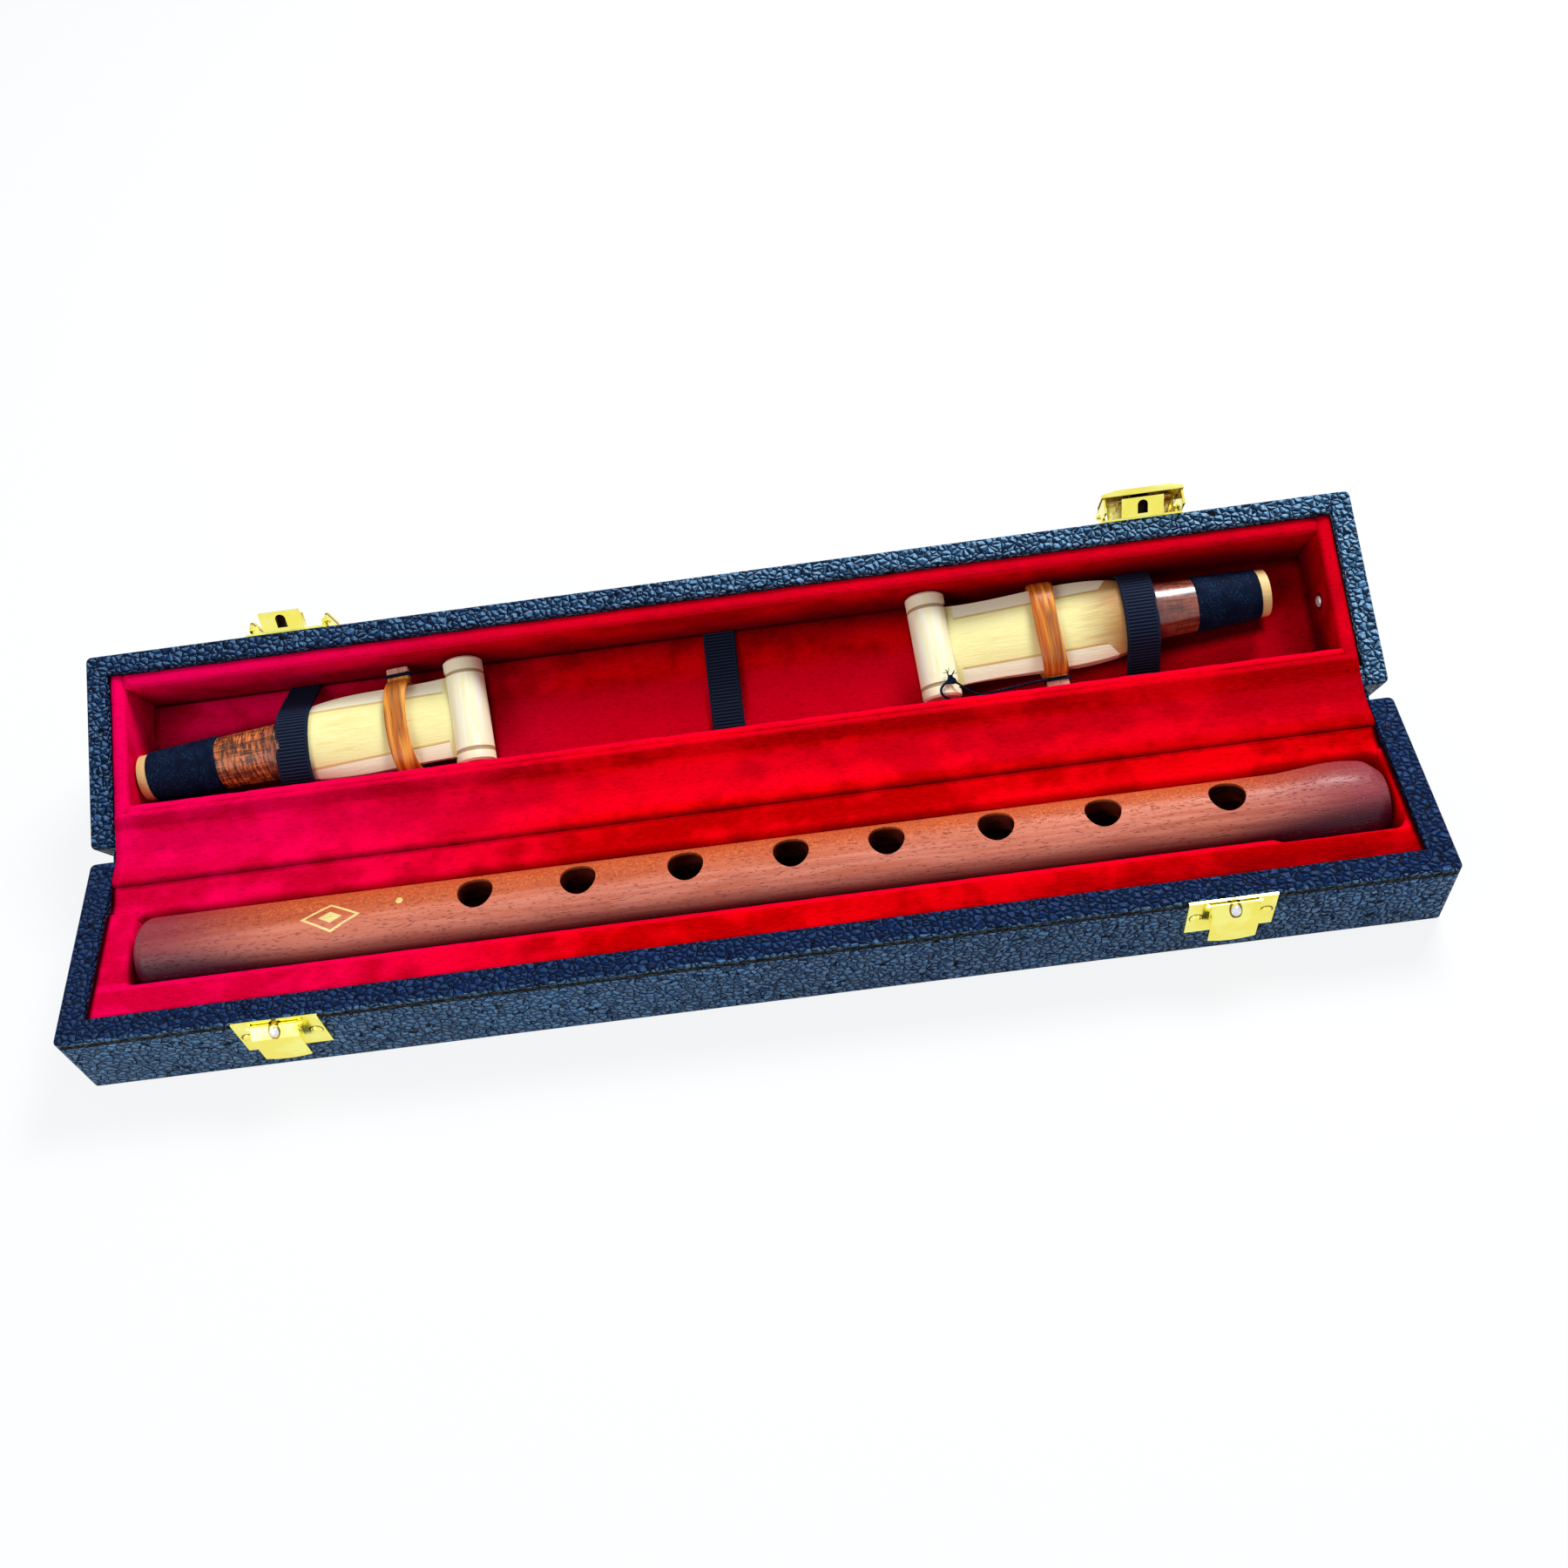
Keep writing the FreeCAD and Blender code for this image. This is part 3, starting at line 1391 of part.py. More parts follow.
def hasp_cover(side, stand, swing):
    """The hinged cover: a front wall and two wings, swung open by this many degrees."""
    body = new_body("Cover" + side.title())
    inner = "cover_out - metal_thickness"
    start = "-cover_pivot_drop + cover_wall_start"
    flare = "metal_thickness*(sqrt(2) - 1)"
    wall = [
        (inner, start),
        ("cover_out", start),
        ("cover_out", "cover_below_rim - cover_lip"),
        ("cover_out + cover_lip", "cover_below_rim"),
        ("cover_out + cover_lip - metal_thickness/sqrt(2)", "cover_below_rim + metal_thickness/sqrt(2)"),
        (inner, "cover_below_rim - cover_lip + " + flare),
    ]
    width = "(plate_width/2 + cover_side)"
    feature(body, "Pad", outline(body, "YZ", wall, "-" + width), Length="2*" + width)
    wing = [
        ("cover_back", "cover_below_rim - cover_lip"),
        (inner + " + metal_thickness/2", "cover_below_rim - cover_lip"),
        (inner + " + metal_thickness/2", start),
        (inner, "-cover_pivot_drop"),
        ("cover_pivot_out + wing_over/2", "-cover_pivot_drop - wing_over"),
        ("cover_pivot_out - wing_over/2", "-cover_pivot_drop - wing_over"),
        ("cover_back + wing_over/2", "-cover_pivot_drop - wing_over/2"),
        ("cover_back", "-cover_pivot_drop + wing_over/2"),
    ]
    hole = [("cover_pivot_out", "-cover_pivot_drop", "pin_radius + pin_gap")]
    for first in ("plate_width/2 - metal_thickness", "-plate_width/2"):
        feature(body, "Pad", outline(body, "YZ", wing, first, circles=hole), Length="metal_thickness")
    top = "cover_below_rim + metal_thickness/sqrt(2) - cover_bow_radius"
    made = bowed("CoverBow" + side.title(), body, "cover_bow_radius", "-2*cover_out", top)
    pivot = Vector(0, value("cover_pivot_out"), -value("cover_pivot_drop"))
    turn = Placement(pivot, Rotation()).multiply(Placement(Vector(), Rotation(Vector(1, 0, 0), -swing)))
    made.Placement = stand.multiply(turn).multiply(Placement(-pivot, Rotation()))
    keep(made, "hasp_cover_" + side)


def cover_pins(stands):
    pins = []
    for i, stand in enumerate(stands):
        for j, turn in enumerate((0, 180)):
            body = new_body("CoverPin%d%d" % (i, j))
            head = "plate_width/2 + cover_side + 2*pin_gap"
            half = [
                (ear_out + " - metal_thickness - pin_head_height", "0"),
                (ear_out + " - metal_thickness - pin_head_height", "pin_radius"),
                (head, "pin_radius"),
                (head, "pin_head_radius"),
                (head + " + pin_head_height/2", "pin_head_radius"),
                (head + " + pin_head_height", "pin_head_radius/2"),
                (head + " + pin_head_height", "0"),
            ]
            turned(body, half)
            spot = Vector(0, value("cover_pivot_out"), -value("cover_pivot_drop"))
            body.Placement = stand.multiply(Placement(spot, Rotation(Vector(0, 0, 1), turn)))
            pins.append(body)
    keep(group("CoverPins", *pins), "cover_pins")


def hasp_screws(stands):
    made = []
    for i, stand in enumerate(stands):
        for j, sign in enumerate((-1, 1)):
            body = screw("HaspScrew%d%d" % (i, j))
            spot = Vector(sign * value("screw_spread"), 0, value(screw_w))
            body.Placement = stand.multiply(Placement(spot, rotation_to(Vector(0, 1, 0))))
            made.append(body)
    keep(group("HaspScrews", *made), "hasp_screws")


base_case()
channel_insert()
hinge_strips()
lid_case()
lid_lining()
straps()
flute()
reed("left")
reed("right")
base_latch("left", "-latch_distance")
base_latch("right", "latch_distance")
latch_pins()
latch_screws()
left_stand = lid_hasp("left", "-latch_distance")
right_stand = lid_hasp("right", "latch_distance")
hasp_cover("left", left_stand, 180)
hasp_cover("right", right_stand, 0)
cover_pins((left_stand, right_stand))
hasp_screws((left_stand, right_stand))
doc.recompute()
for thing in doc.Objects:
    if "Invalid" in thing.State or "Error" in thing.State:
        raise RuntimeError("%s failed: %s" % (thing.Label, thing.State))
os.makedirs("parts", exist_ok=True)
for thing in nodes:
    shape = thing.Shape
    if shape.isNull() or not shape.isValid():
        raise RuntimeError(thing.Label + " has no valid shape")
    shape.exportStep("parts/%s.step" % thing.Label)
    box = shape.BoundBox
    print("%-24s %2d solids %10.1f mm3" % (thing.Label, len(shape.Solids), shape.Volume))
print(
    "lid opens %.3f degrees; hinge axis y %.3f z %.3f; rim y %.3f z %.3f" % (
        opened, axis_y, axis_z, rim_y, rim_z
    )
)
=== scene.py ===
import math

import bmesh
import bpy
import numpy as np
from mathutils import Matrix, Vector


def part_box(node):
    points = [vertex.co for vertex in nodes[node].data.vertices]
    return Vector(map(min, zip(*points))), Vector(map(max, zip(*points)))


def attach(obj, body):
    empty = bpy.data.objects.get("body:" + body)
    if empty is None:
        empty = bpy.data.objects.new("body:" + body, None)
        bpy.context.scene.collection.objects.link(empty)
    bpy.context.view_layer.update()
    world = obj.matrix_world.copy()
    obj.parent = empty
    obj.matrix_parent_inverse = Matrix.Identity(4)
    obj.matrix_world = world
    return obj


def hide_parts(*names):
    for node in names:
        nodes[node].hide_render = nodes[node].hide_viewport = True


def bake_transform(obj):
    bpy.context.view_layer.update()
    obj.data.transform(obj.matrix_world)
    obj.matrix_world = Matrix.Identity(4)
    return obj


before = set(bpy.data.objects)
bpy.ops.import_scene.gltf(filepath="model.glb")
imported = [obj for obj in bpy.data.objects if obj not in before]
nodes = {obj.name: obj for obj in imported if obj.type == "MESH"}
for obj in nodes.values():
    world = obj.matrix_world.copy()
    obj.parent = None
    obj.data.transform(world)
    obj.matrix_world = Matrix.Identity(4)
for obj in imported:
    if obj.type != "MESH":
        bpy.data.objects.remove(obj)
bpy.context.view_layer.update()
scene = bpy.context.scene
mm = 0.001
turn = 2 * math.pi

# Where the lid stands: its rear rim corner and how far it tilts
lidRim = {"y": 31.089, "z": 24.676, "tilt": math.radians(24.416)}


def together(*values):
    return np.broadcast_arrays(*(np.asarray(value, float) for value in values))


def inBase(x, y, z):
    return np.stack(together(x, y, z), -1)


def inLid(x, u, w):
    # y = rim + u cos(tilt) - w sin(tilt), z = rim + u sin(tilt) + w cos(tilt)
    x, u, w = together(x, u, w)
    c, s = math.cos(lidRim["tilt"]), math.sin(lidRim["tilt"])
    return np.stack([x, lidRim["y"] + u * c - w * s, lidRim["z"] + u * s + w * c], -1)


reeds = {
    "left": {
        "x": -166.0, "u": 21.6, "w": -12.75, "lean": math.asin(6.5 / 95.5),
        "threadEnd": 22.5, "neckEnd": 39.5, "bridle": 75.0, "bridleOut": 14.0,
    },
    "right": {
        "x": 152.4, "u": 32.9, "w": -12.75, "lean": math.pi - math.asin(-4.0 / 95.5),
        "threadEnd": 20.5, "neckEnd": 31.5, "bridle": 61.4, "bridleOut": 13.5,
    },
}


def inReed(side, a, y, z):
    # x = x0 + a cos(lean) - y sin(lean), u = u0 + a sin(lean) + y cos(lean), w = w0 + z, in the lid
    r = reeds[side]
    a, y, z = together(a, y, z)
    c, s = math.cos(r["lean"]), math.sin(r["lean"])
    return inLid(r["x"] + a * c - y * s, r["u"] + a * s + y * c, r["w"] + z)


def linked(name, data):
    thing = bpy.data.objects.new(name, data)
    scene.collection.objects.link(thing)
    return thing


def stand(thing, axes, place):
    # axes are the thing's own X, Y and Z, and place is in metres
    pose = np.eye(4)
    pose[:3, :3] = np.stack(axes, 1)
    pose[:3, 3] = place
    thing.matrix_world = Matrix(pose.tolist())


# Camera

view = {
    "place": (24.13, -223.70, 357.70),
    "right": (0.9914081, -0.0874120, -0.0973096),
    "down": (-0.1281343, -0.7985591, -0.5881199),
    "ahead": (-0.0262987, 0.5955355, -0.8028984),
    "focal": 1790.4, "side": 1800.0, "film": 36.0,
}
camera = bpy.data.cameras.new("mainView")
camera.sensor_width = view["film"]
camera.sensor_fit = "HORIZONTAL"
camera.lens = view["focal"] * view["film"] / view["side"]
camera.clip_start, camera.clip_end = 0.01, 20.0
eye = linked("mainView", camera)
stand(eye, [view["right"], -np.array(view["down"]), -np.array(view["ahead"])], np.array(view["place"]) * mm)
scene.camera = eye
scene.view_settings.view_transform = "Standard"
print("camera")


# Shader and mesh helpers


class Term:
    def __init__(self, look, socket):
        self.look = look
        self.socket = socket

    def op(self, kind, *others):
        return self.look.node("Math", dict(enumerate((self, *others))), operation=kind)

    def __add__(self, other):
        return self.op("ADD", other)

    def __sub__(self, other):
        return self.op("SUBTRACT", other)

    def __rsub__(self, other):
        return self.look.node("Math", {0: other, 1: self}, operation="SUBTRACT")

    def __mul__(self, other):
        return self.op("MULTIPLY", other)

    def __truediv__(self, other):
        return self.op("DIVIDE", other)

    def __pow__(self, other):
        return self.op("POWER", other)

    __radd__ = __add__
    __rmul__ = __mul__

    def size(self):
        return self.op("ABSOLUTE")

    def most(self, other):
        return self.op("MAXIMUM", other)

    def rise(self, low, high, fromValue=0.0, toValue=1.0):
        plugs = {"Value": self, "From Min": low, "From Max": high, "To Min": fromValue, "To Max": toValue}
        return self.look.node("MapRange", plugs, interpolation_type="SMOOTHSTEP")

    def fall(self, low, high, start=1.0):
        return self.rise(low, high, start, 0.0)

    def near(self, centre, reach):
        # one within half of reach from centre, falling to none at reach
        return (self - centre).size().fall(reach / 2, reach)

    def away(self, other):
        return (self ** 2.0 + other ** 2.0) ** 0.5

    def scaled(self, x=1.0, y=1.0, z=1.0):
        return self.look.vector("MULTIPLY", self, (x, y, z))


class Graph:
    def __init__(self, tree):
        self.tree = tree

    def feed(self, plug, value):
        if isinstance(value, Term):
            self.tree.links.new(value.socket, plug)
        else:
            plug.default_value = value

    def node(self, kind, plugs=None, out=0, **settings):
        made = self.tree.nodes.new("ShaderNode" + kind)
        for key, value in settings.items():
            setattr(made, key, value)
        for key, value in (plugs or {}).items():
            self.feed(made.inputs[key], value)
        return Term(self, made.outputs[out])


class Look(Graph):
    def __init__(self, name, colour, roughness, **constants):
        self.material = bpy.data.materials.new(name)
        self.material.use_nodes = True
        super().__init__(self.material.node_tree)
        self.shader = self.tree.nodes["Principled BSDF"]
        self.use(Base_Color=(*colour, 1), Roughness=roughness, **constants)
        self.material.diffuse_color = (*colour, 1)

    def spot(self):
        return self.node("TexCoord", out="Object")

    def parts(self, vector):
        split = self.node("SeparateXYZ", {0: vector}).socket.node
        return [Term(self, plug) for plug in split.outputs]

    def vector(self, kind, *terms):
        return self.node("VectorMath", dict(enumerate(terms)), operation=kind)

    def measured(self, place, *axes):
        # how far a point lies from place(0, 0, 0) along some of place's own axes, in metres
        start = place(0, 0, 0)
        rest = self.vector("SUBTRACT", self.spot(), tuple(start * mm))
        pairs = [{0: rest, 1: tuple(place(*axis) - start)} for axis in axes or np.eye(3)]
        return [self.node("VectorMath", pair, out="Value", operation="DOT_PRODUCT") for pair in pairs]

    def joined(self, x, y, z):
        return self.node("CombineXYZ", {0: x, 1: y, 2: z})

    def noise(self, vector, scale, detail=3.0, roughness=0.55, out=0):
        plugs = {"Vector": vector, "Scale": scale, "Detail": detail, "Roughness": roughness}
        return self.node("TexNoise", plugs, out=out)

    def cells(self, vector, scale, feature="F1", out="Distance"):
        return self.node("TexVoronoi", {"Vector": vector, "Scale": scale}, out=out, feature=feature)

    def mix(self, share, first, second):
        first, second = ((*tint, 1) if isinstance(tint, tuple) else tint for tint in (first, second))
        return self.node("Mix", {0: share, 6: first, 7: second}, out=2, data_type="RGBA")

    def coats(self, colour, *layers):
        # each layer is its share and its colour
        for share, tint in layers:
            colour = self.mix(share, colour, tint)
        return colour

    def use(self, **plugs):
        for plug, value in plugs.items():
            self.feed(self.shader.inputs[plug.replace("_", " ")], value)
        return self

    def bump(self, height, depth, strength=1.0):
        # depth in metres is how high a height of one stands
        return self.node("Bump", {"Height": height, "Distance": depth, "Strength": strength})

    def on(self, *names):
        for name in names:
            for slot in nodes[name].material_slots:
                slot.material = self.material
        return self


def reedPlace(side):
    return lambda a, y, z: inReed(side, a, y, z)


def meshObject(name, points, faces, look, uv=None):
    mesh = bpy.data.meshes.new(name)
    mesh.from_pydata((np.asarray(points, float).reshape(-1, 3) * mm).tolist(), [], faces)
    # faces turn outwards on every closed form
    form = bmesh.new()
    form.from_mesh(mesh)
    bmesh.ops.recalc_face_normals(form, faces=form.faces)
    form.to_mesh(mesh)
    form.free()
    mesh.polygons.foreach_set("use_smooth", [True] * len(mesh.polygons))
    mesh.materials.append(look.material)
    if uv is not None:
        corners = np.empty(len(mesh.loops), np.int32)
        mesh.loops.foreach_get("vertex_index", corners)
        places = (uv.reshape(-1, 2) * mm)[corners].astype(np.float32)
        mesh.uv_layers.new(name="UVMap").data.foreach_set("uv", places.ravel())
    mesh.update()
    return linked(name, mesh)


def ringFaces(rows, cols, loop):
    # quads between rings of points, where either the last ring meets the first or each end is filled
    i, j = np.meshgrid(np.arange(rows if loop else rows - 1), np.arange(cols), indexing="ij")
    below, beside = (i + 1) % rows, (j + 1) % cols
    quads = np.stack([i * cols + j, i * cols + beside, below * cols + beside, below * cols + j], -1)
    ends = [] if loop else [list(range(cols)), list(range((rows - 1) * cols, rows * cols))]
    return quads.reshape(-1, 4).tolist() + ends


def tube(name, grid, look, uv=None, loop=False):
    return meshObject(name, grid, ringFaces(*grid.shape[:2], loop), look, uv)


def unit(vectors):
    return vectors / np.linalg.norm(vectors, axis=-1, keepdims=True)


def sideways(line):
    # unit normals, a quarter turn left of the tangent, at the points of a line in a section
    run = unit(np.gradient(line, axis=0))
    return np.stack([-run[:, 1], run[:, 0]], 1)


def circle(sides):
    return np.linspace(0, turn, sides + 1)[:-1]


def strand(line, radius, up, sides=10):
    # rings round a line of points: side = tangent x up, rim = radius (side cos t + (side x tangent) sin t)
    line = np.asarray(line, float)
    run = unit(np.gradient(line, axis=0))
    side = unit(np.cross(run, up))
    other = np.cross(side, run)
    t = circle(sides)
    reach = np.broadcast_to(np.asarray(radius, float), len(line))[:, None, None]
    rim = side[:, None] * np.cos(t)[None, :, None] + other[:, None] * np.sin(t)[None, :, None]
    return line[:, None] + reach * rim


def along(points, step):
    # points about step apart along a line
    points = np.asarray(points, float)
    runs = np.linalg.norm(np.diff(points, axis=0), axis=1)
    reach = np.concatenate([[0], np.cumsum(runs)])
    spots = np.linspace(0, reach[-1], max(2, int(round(reach[-1] / step)) + 1))
    return np.stack([np.interp(spots, reach, points[:, k]) for k in range(points.shape[1])], 1)


def softened(points, rounds=3):
    # each round cuts the corners at a quarter and three quarters of their runs
    points = np.asarray(points, float)
    for _ in range(rounds):
        near = points[:-1] * 0.75 + points[1:] * 0.25
        far = points[:-1] * 0.25 + points[1:] * 0.75
        middle = np.stack([near, far], 1).reshape(-1, points.shape[1])
        points = np.concatenate([points[:1], middle, points[-1:]])
    return points


def ripple(a, b, size, length, seed=0.0):
    # size times the mean of four slanted sines of about that length
    out = 0
    for k, slant in enumerate((0.3, 1.4, 2.6, 4.0)):
        wave = turn / (length * (0.7 + 0.23 * k))
        out = out + np.sin((a * math.cos(slant) + b * math.sin(slant)) * wave + seed + 1.7 * k)
    return size * out / 4


def smooth(t):
    t = np.clip(t, 0, 1)
    return t * t * (3 - 2 * t)


# Materials


def leather():
    # domed pebbles between creases painted near-black as shade: how far a point lies from the edges of warped
    # cells, and how that changes a step towards the light, which paints a highlight and a shade on the two
    # sides of each pebble
    look = Look("leather", (0.03, 0.08, 0.17), 0.42, Specular_IOR_Level=0.06)
    spot = look.spot()
    x, y, z = look.parts(spot)
    wander = look.vector("SUBTRACT", look.noise(spot, 380.0, 2.0, out="Color"), (0.5, 0.5, 0.5))
    flat = look.vector("ADD", spot, wander.scaled(0.001, 0.001, 0.001)).scaled(0.85, 1.05, 0.95)
    pebbles, step = 600.0, 0.00017
    edge = look.cells(flat, pebbles, "DISTANCE_TO_EDGE")
    ahead = look.cells(look.vector("ADD", flat, (step, step, step)), pebbles, "DISTANCE_TO_EDGE")
    tone = look.parts(look.cells(flat, pebbles, out="Color"))[0]
    fine = look.noise(spot, 2400.0, 3.0, 0.65)
    patch = look.noise(spot, 24.0, 3.0)
    crease = edge.rise(0.01, 0.1)
    # painted light and shade: the base's rim is darkest, its front palest, most of all at the left, and the
    # lid's rim lies between
    lid, front = y.rise(0.03, 0.034), y.fall(-0.0274, -0.0268)
    across = x.rise(-0.15, 0.12)
    rim = look.mix(lid, (0.003, 0.026, 0.13), look.mix(across, (0.012, 0.06, 0.19), (0.055, 0.17, 0.35)))
    face = look.mix(across, (0.055, 0.19, 0.42), (0.018, 0.11, 0.31))
    # how strongly the painted glints show on each part
    paintedGlintShare = lid * (across * 0.6 + 0.25) + front * 0.4 + 0.08
    top = look.coats(
        look.mix(front, rim, face),
        (tone * 0.55, (0.003, 0.016, 0.055)),
        (patch.rise(0.35, 0.7) * 0.35, (0.004, 0.02, 0.07)),
        # painted shade on each pebble's side away from the light, then painted glints on its side towards the
        # light
        ((ahead - edge).rise(0.0, 0.09) * 0.75, (0.001, 0.006, 0.024)),
        ((edge - ahead).rise(0.015, 0.085) * fine.rise(0.34, 0.56) * paintedGlintShare, (0.28, 0.52, 0.78)),
    )
    # the creases are painted near-black, as shade
    colour = look.mix(crease, (0.0003, 0.0008, 0.003), top)
    # a painted shadow under the rim's turned edge darkens a line along the front and the ends, and each
    # corner has its own dark line
    outside = y.fall(-0.0272, -0.0269).most(x.size().rise(0.1761, 0.1763))
    seamShadow = z.near(0.0215, 0.0012) * outside * patch.rise(0.2, 0.45, 0.8, 1.0) * (1.0 - lid)
    corner = x.size().rise(0.1756, 0.1761) * y.fall(-0.0266, -0.0262)
    colour = look.mix(seamShadow.most(corner * 0.8), colour, (0.0003, 0.0008, 0.002))
    height = edge.rise(0.0, 0.4) + fine * 0.1 + tone * 0.2 - seamShadow * 0.6
    rough = crease.rise(0.0, 1.0, 0.75, 0.34)
    return look.use(Base_Color=colour, Roughness=rough, Normal=look.bump(height, 0.0006))


def velvet(name, shade):
    # shade gives where this piece's pile gets a painted highlight and where it gets painted shadow
    look = Look(
        name, (0.5, 0.0, 0.01), 0.9, Specular_IOR_Level=0.0,
        Sheen_Weight=0.3, Sheen_Roughness=0.35, Sheen_Tint=(1.0, 0.0, 0.03, 1),
    )
    spot = look.spot()
    x, y, z = look.parts(spot)
    u, w = look.measured(inLid, (0, 1, 0), (0, 0, 1))
    cloud = look.noise(spot.scaled(0.55), 50.0, 3.0, 0.6)
    blot = look.noise(spot, 95.0, 2.0, 0.6)
    pile = look.noise(spot.scaled(0.4), 1300.0, 3.0, 0.65)
    left = x.fall(-0.165, -0.03)
    brushed = (cloud * 0.6 + blot * 0.4).rise(0.42, 0.58)
    deep = look.mix(left, (0.46, 0.0, 0.0), (0.64, 0.0, 0.035))
    bright = look.mix(left, (0.8, 0.0, 0.003), (0.95, 0.0, 0.09))
    lit = look.mix(left, (0.88, 0.0, 0.022), (0.95, 0.0, 0.11))
    raised = look.mix(left, (0.85, 0.0, 0.008), (0.9, 0.0, 0.08))
    light, dark = shade(look, x, y, z, u, w)
    # now and then a speck of lint
    lint = look.cells(spot, 42.0).fall(0.009, 0.016)
    picked = look.parts(look.cells(spot, 42.0, out="Color"))[1].rise(0.55, 0.56)
    colour = look.coats(
        look.mix(brushed, deep, bright),
        # painted shadow, then painted light
        (dark, (0.022, 0.0, 0.001)),
        (light * (1.0 - dark), lit),
        (pile.rise(0.45, 0.75) * (0.25 - dark * 0.2), raised),
        (pile.fall(0.3, 0.48, 0.28), (0.08, 0.0, 0.0)),
        (lint * picked, (0.85, 0.6, 0.65)),
    )
    return look.use(Base_Color=colour, Normal=look.bump(pile + blot * 1.2, 0.0002, 0.9))


fluteAxis = 0.0154


def fluteWood():
    look = Look("fluteWood", (0.5, 0.12, 0.05), 0.36, Specular_IOR_Level=0.25)
    spot = look.spot()
    x, y, z = look.parts(spot)
    grain = look.noise(spot.scaled(0.05), 900.0, 4.0, 0.6)
    flecks = look.noise(spot.scaled(0.25), 2300.0, 2.0, 0.5).rise(0.56, 0.7)
    bands = look.noise(spot.scaled(0.1), 130.0, 3.0)
    curls = look.noise(spot.scaled(1.0, 0.5, 0.5), 1900.0, 2.0, 0.6)
    # lift is how far a point lies towards the rear of the top, along which light and shade are painted:
    # orange there, a rosy painted highlight between, painted shade in front
    lift = y * 0.8 + (z - fluteAxis) * 0.6
    rear = lift.rise(0.0035, 0.0085)
    out = (x - 0.003).size()
    ends = (out - 0.115).rise(0.0, 0.045)
    # painted shade inside the holes and the bore
    inside = y.away(z - fluteAxis).fall(0.0094, 0.0102) * out.fall(0.158, 0.1585)
    mark = goldMark(look, x, y, z) * grain.rise(0.3, 0.4, 0.55, 1.0)
    colour = look.coats(
        look.mix(bands.rise(0.3, 0.7), (0.42, 0.075, 0.03), (0.64, 0.16, 0.075)),
        (grain.rise(0.45, 0.72) * 0.5, (0.78, 0.27, 0.15)),
        # a rosy painted highlight along the middle
        (lift.near(0.0005, 0.006) * grain.rise(0.3, 0.7, 0.2, 0.75), (0.78, 0.27, 0.2)),
        (rear * 0.8, (0.5, 0.075, 0.016)),
        (rear * curls.rise(0.5, 0.64) * 0.45, (0.8, 0.24, 0.06)),
        (flecks * 0.55, (0.2, 0.03, 0.014)),
        (ends * 0.8, (0.2, 0.014, 0.045)),
        # painted shade on the lower front
        ((lift - ends * 0.0035).fall(-0.0064, 0.0008, 0.96), (0.04, 0.002, 0.014)),
        (inside, look.mix(bands.rise(0.4, 0.6), (0.02, 0.002, 0.001), (0.12, 0.012, 0.004))),
        (mark, (0.9, 0.72, 0.28)),
    )
    rough = grain.rise(0.3, 0.7, 0.3, 0.48)
    pores = look.bump(grain * 0.4 - flecks, 0.00009)
    return look.use(Base_Color=colour, Roughness=rough, Metallic=mark * 0.85, Normal=pores)


stamp = {
    "x": -0.107, "y": -0.0012, "long": 0.0085, "wide": 0.0042,
    "dotX": -0.089, "dotY": 0.0012, "dot": 0.0009,
}


def goldMark(look, x, y, z):
    # a plain pressed-gold figure, a lozenge in a thin lozenge and a small dot beside it
    # a lozenge is |x - x0| / long + |y - y0| / wide < 1
    across = (x - stamp["x"]).size() / stamp["long"] + (y - stamp["y"]).size() / stamp["wide"]
    outer = across.fall(0.9, 0.96) * across.rise(0.76, 0.81)
    inner = across.fall(0.34, 0.4)
    dot = (x - stamp["dotX"]).away(y - stamp["dotY"])
    dot = dot.fall(stamp["dot"] - 0.0001, stamp["dot"] + 0.0001)
    return outer.most(inner).most(dot) * z.rise(0.0215, 0.022)


caneTones = {
    "left": {
        "root": 8.1, "narrow": 0.026, "first": 30.0, "last": 87.0,
        "neck": (0.74, 0.2, 0.055), "scorch": 0.0,
    },
    "right": {
        "root": 7.7, "narrow": 0.012, "first": 46.0, "last": 86.5,
        "neck": (0.36, 0.08, 0.04), "scorch": 1.0,
    },
}


waxy = {"Specular_IOR_Level": 0.3, "Subsurface_Weight": 0.05, "Subsurface_Scale": 0.004}


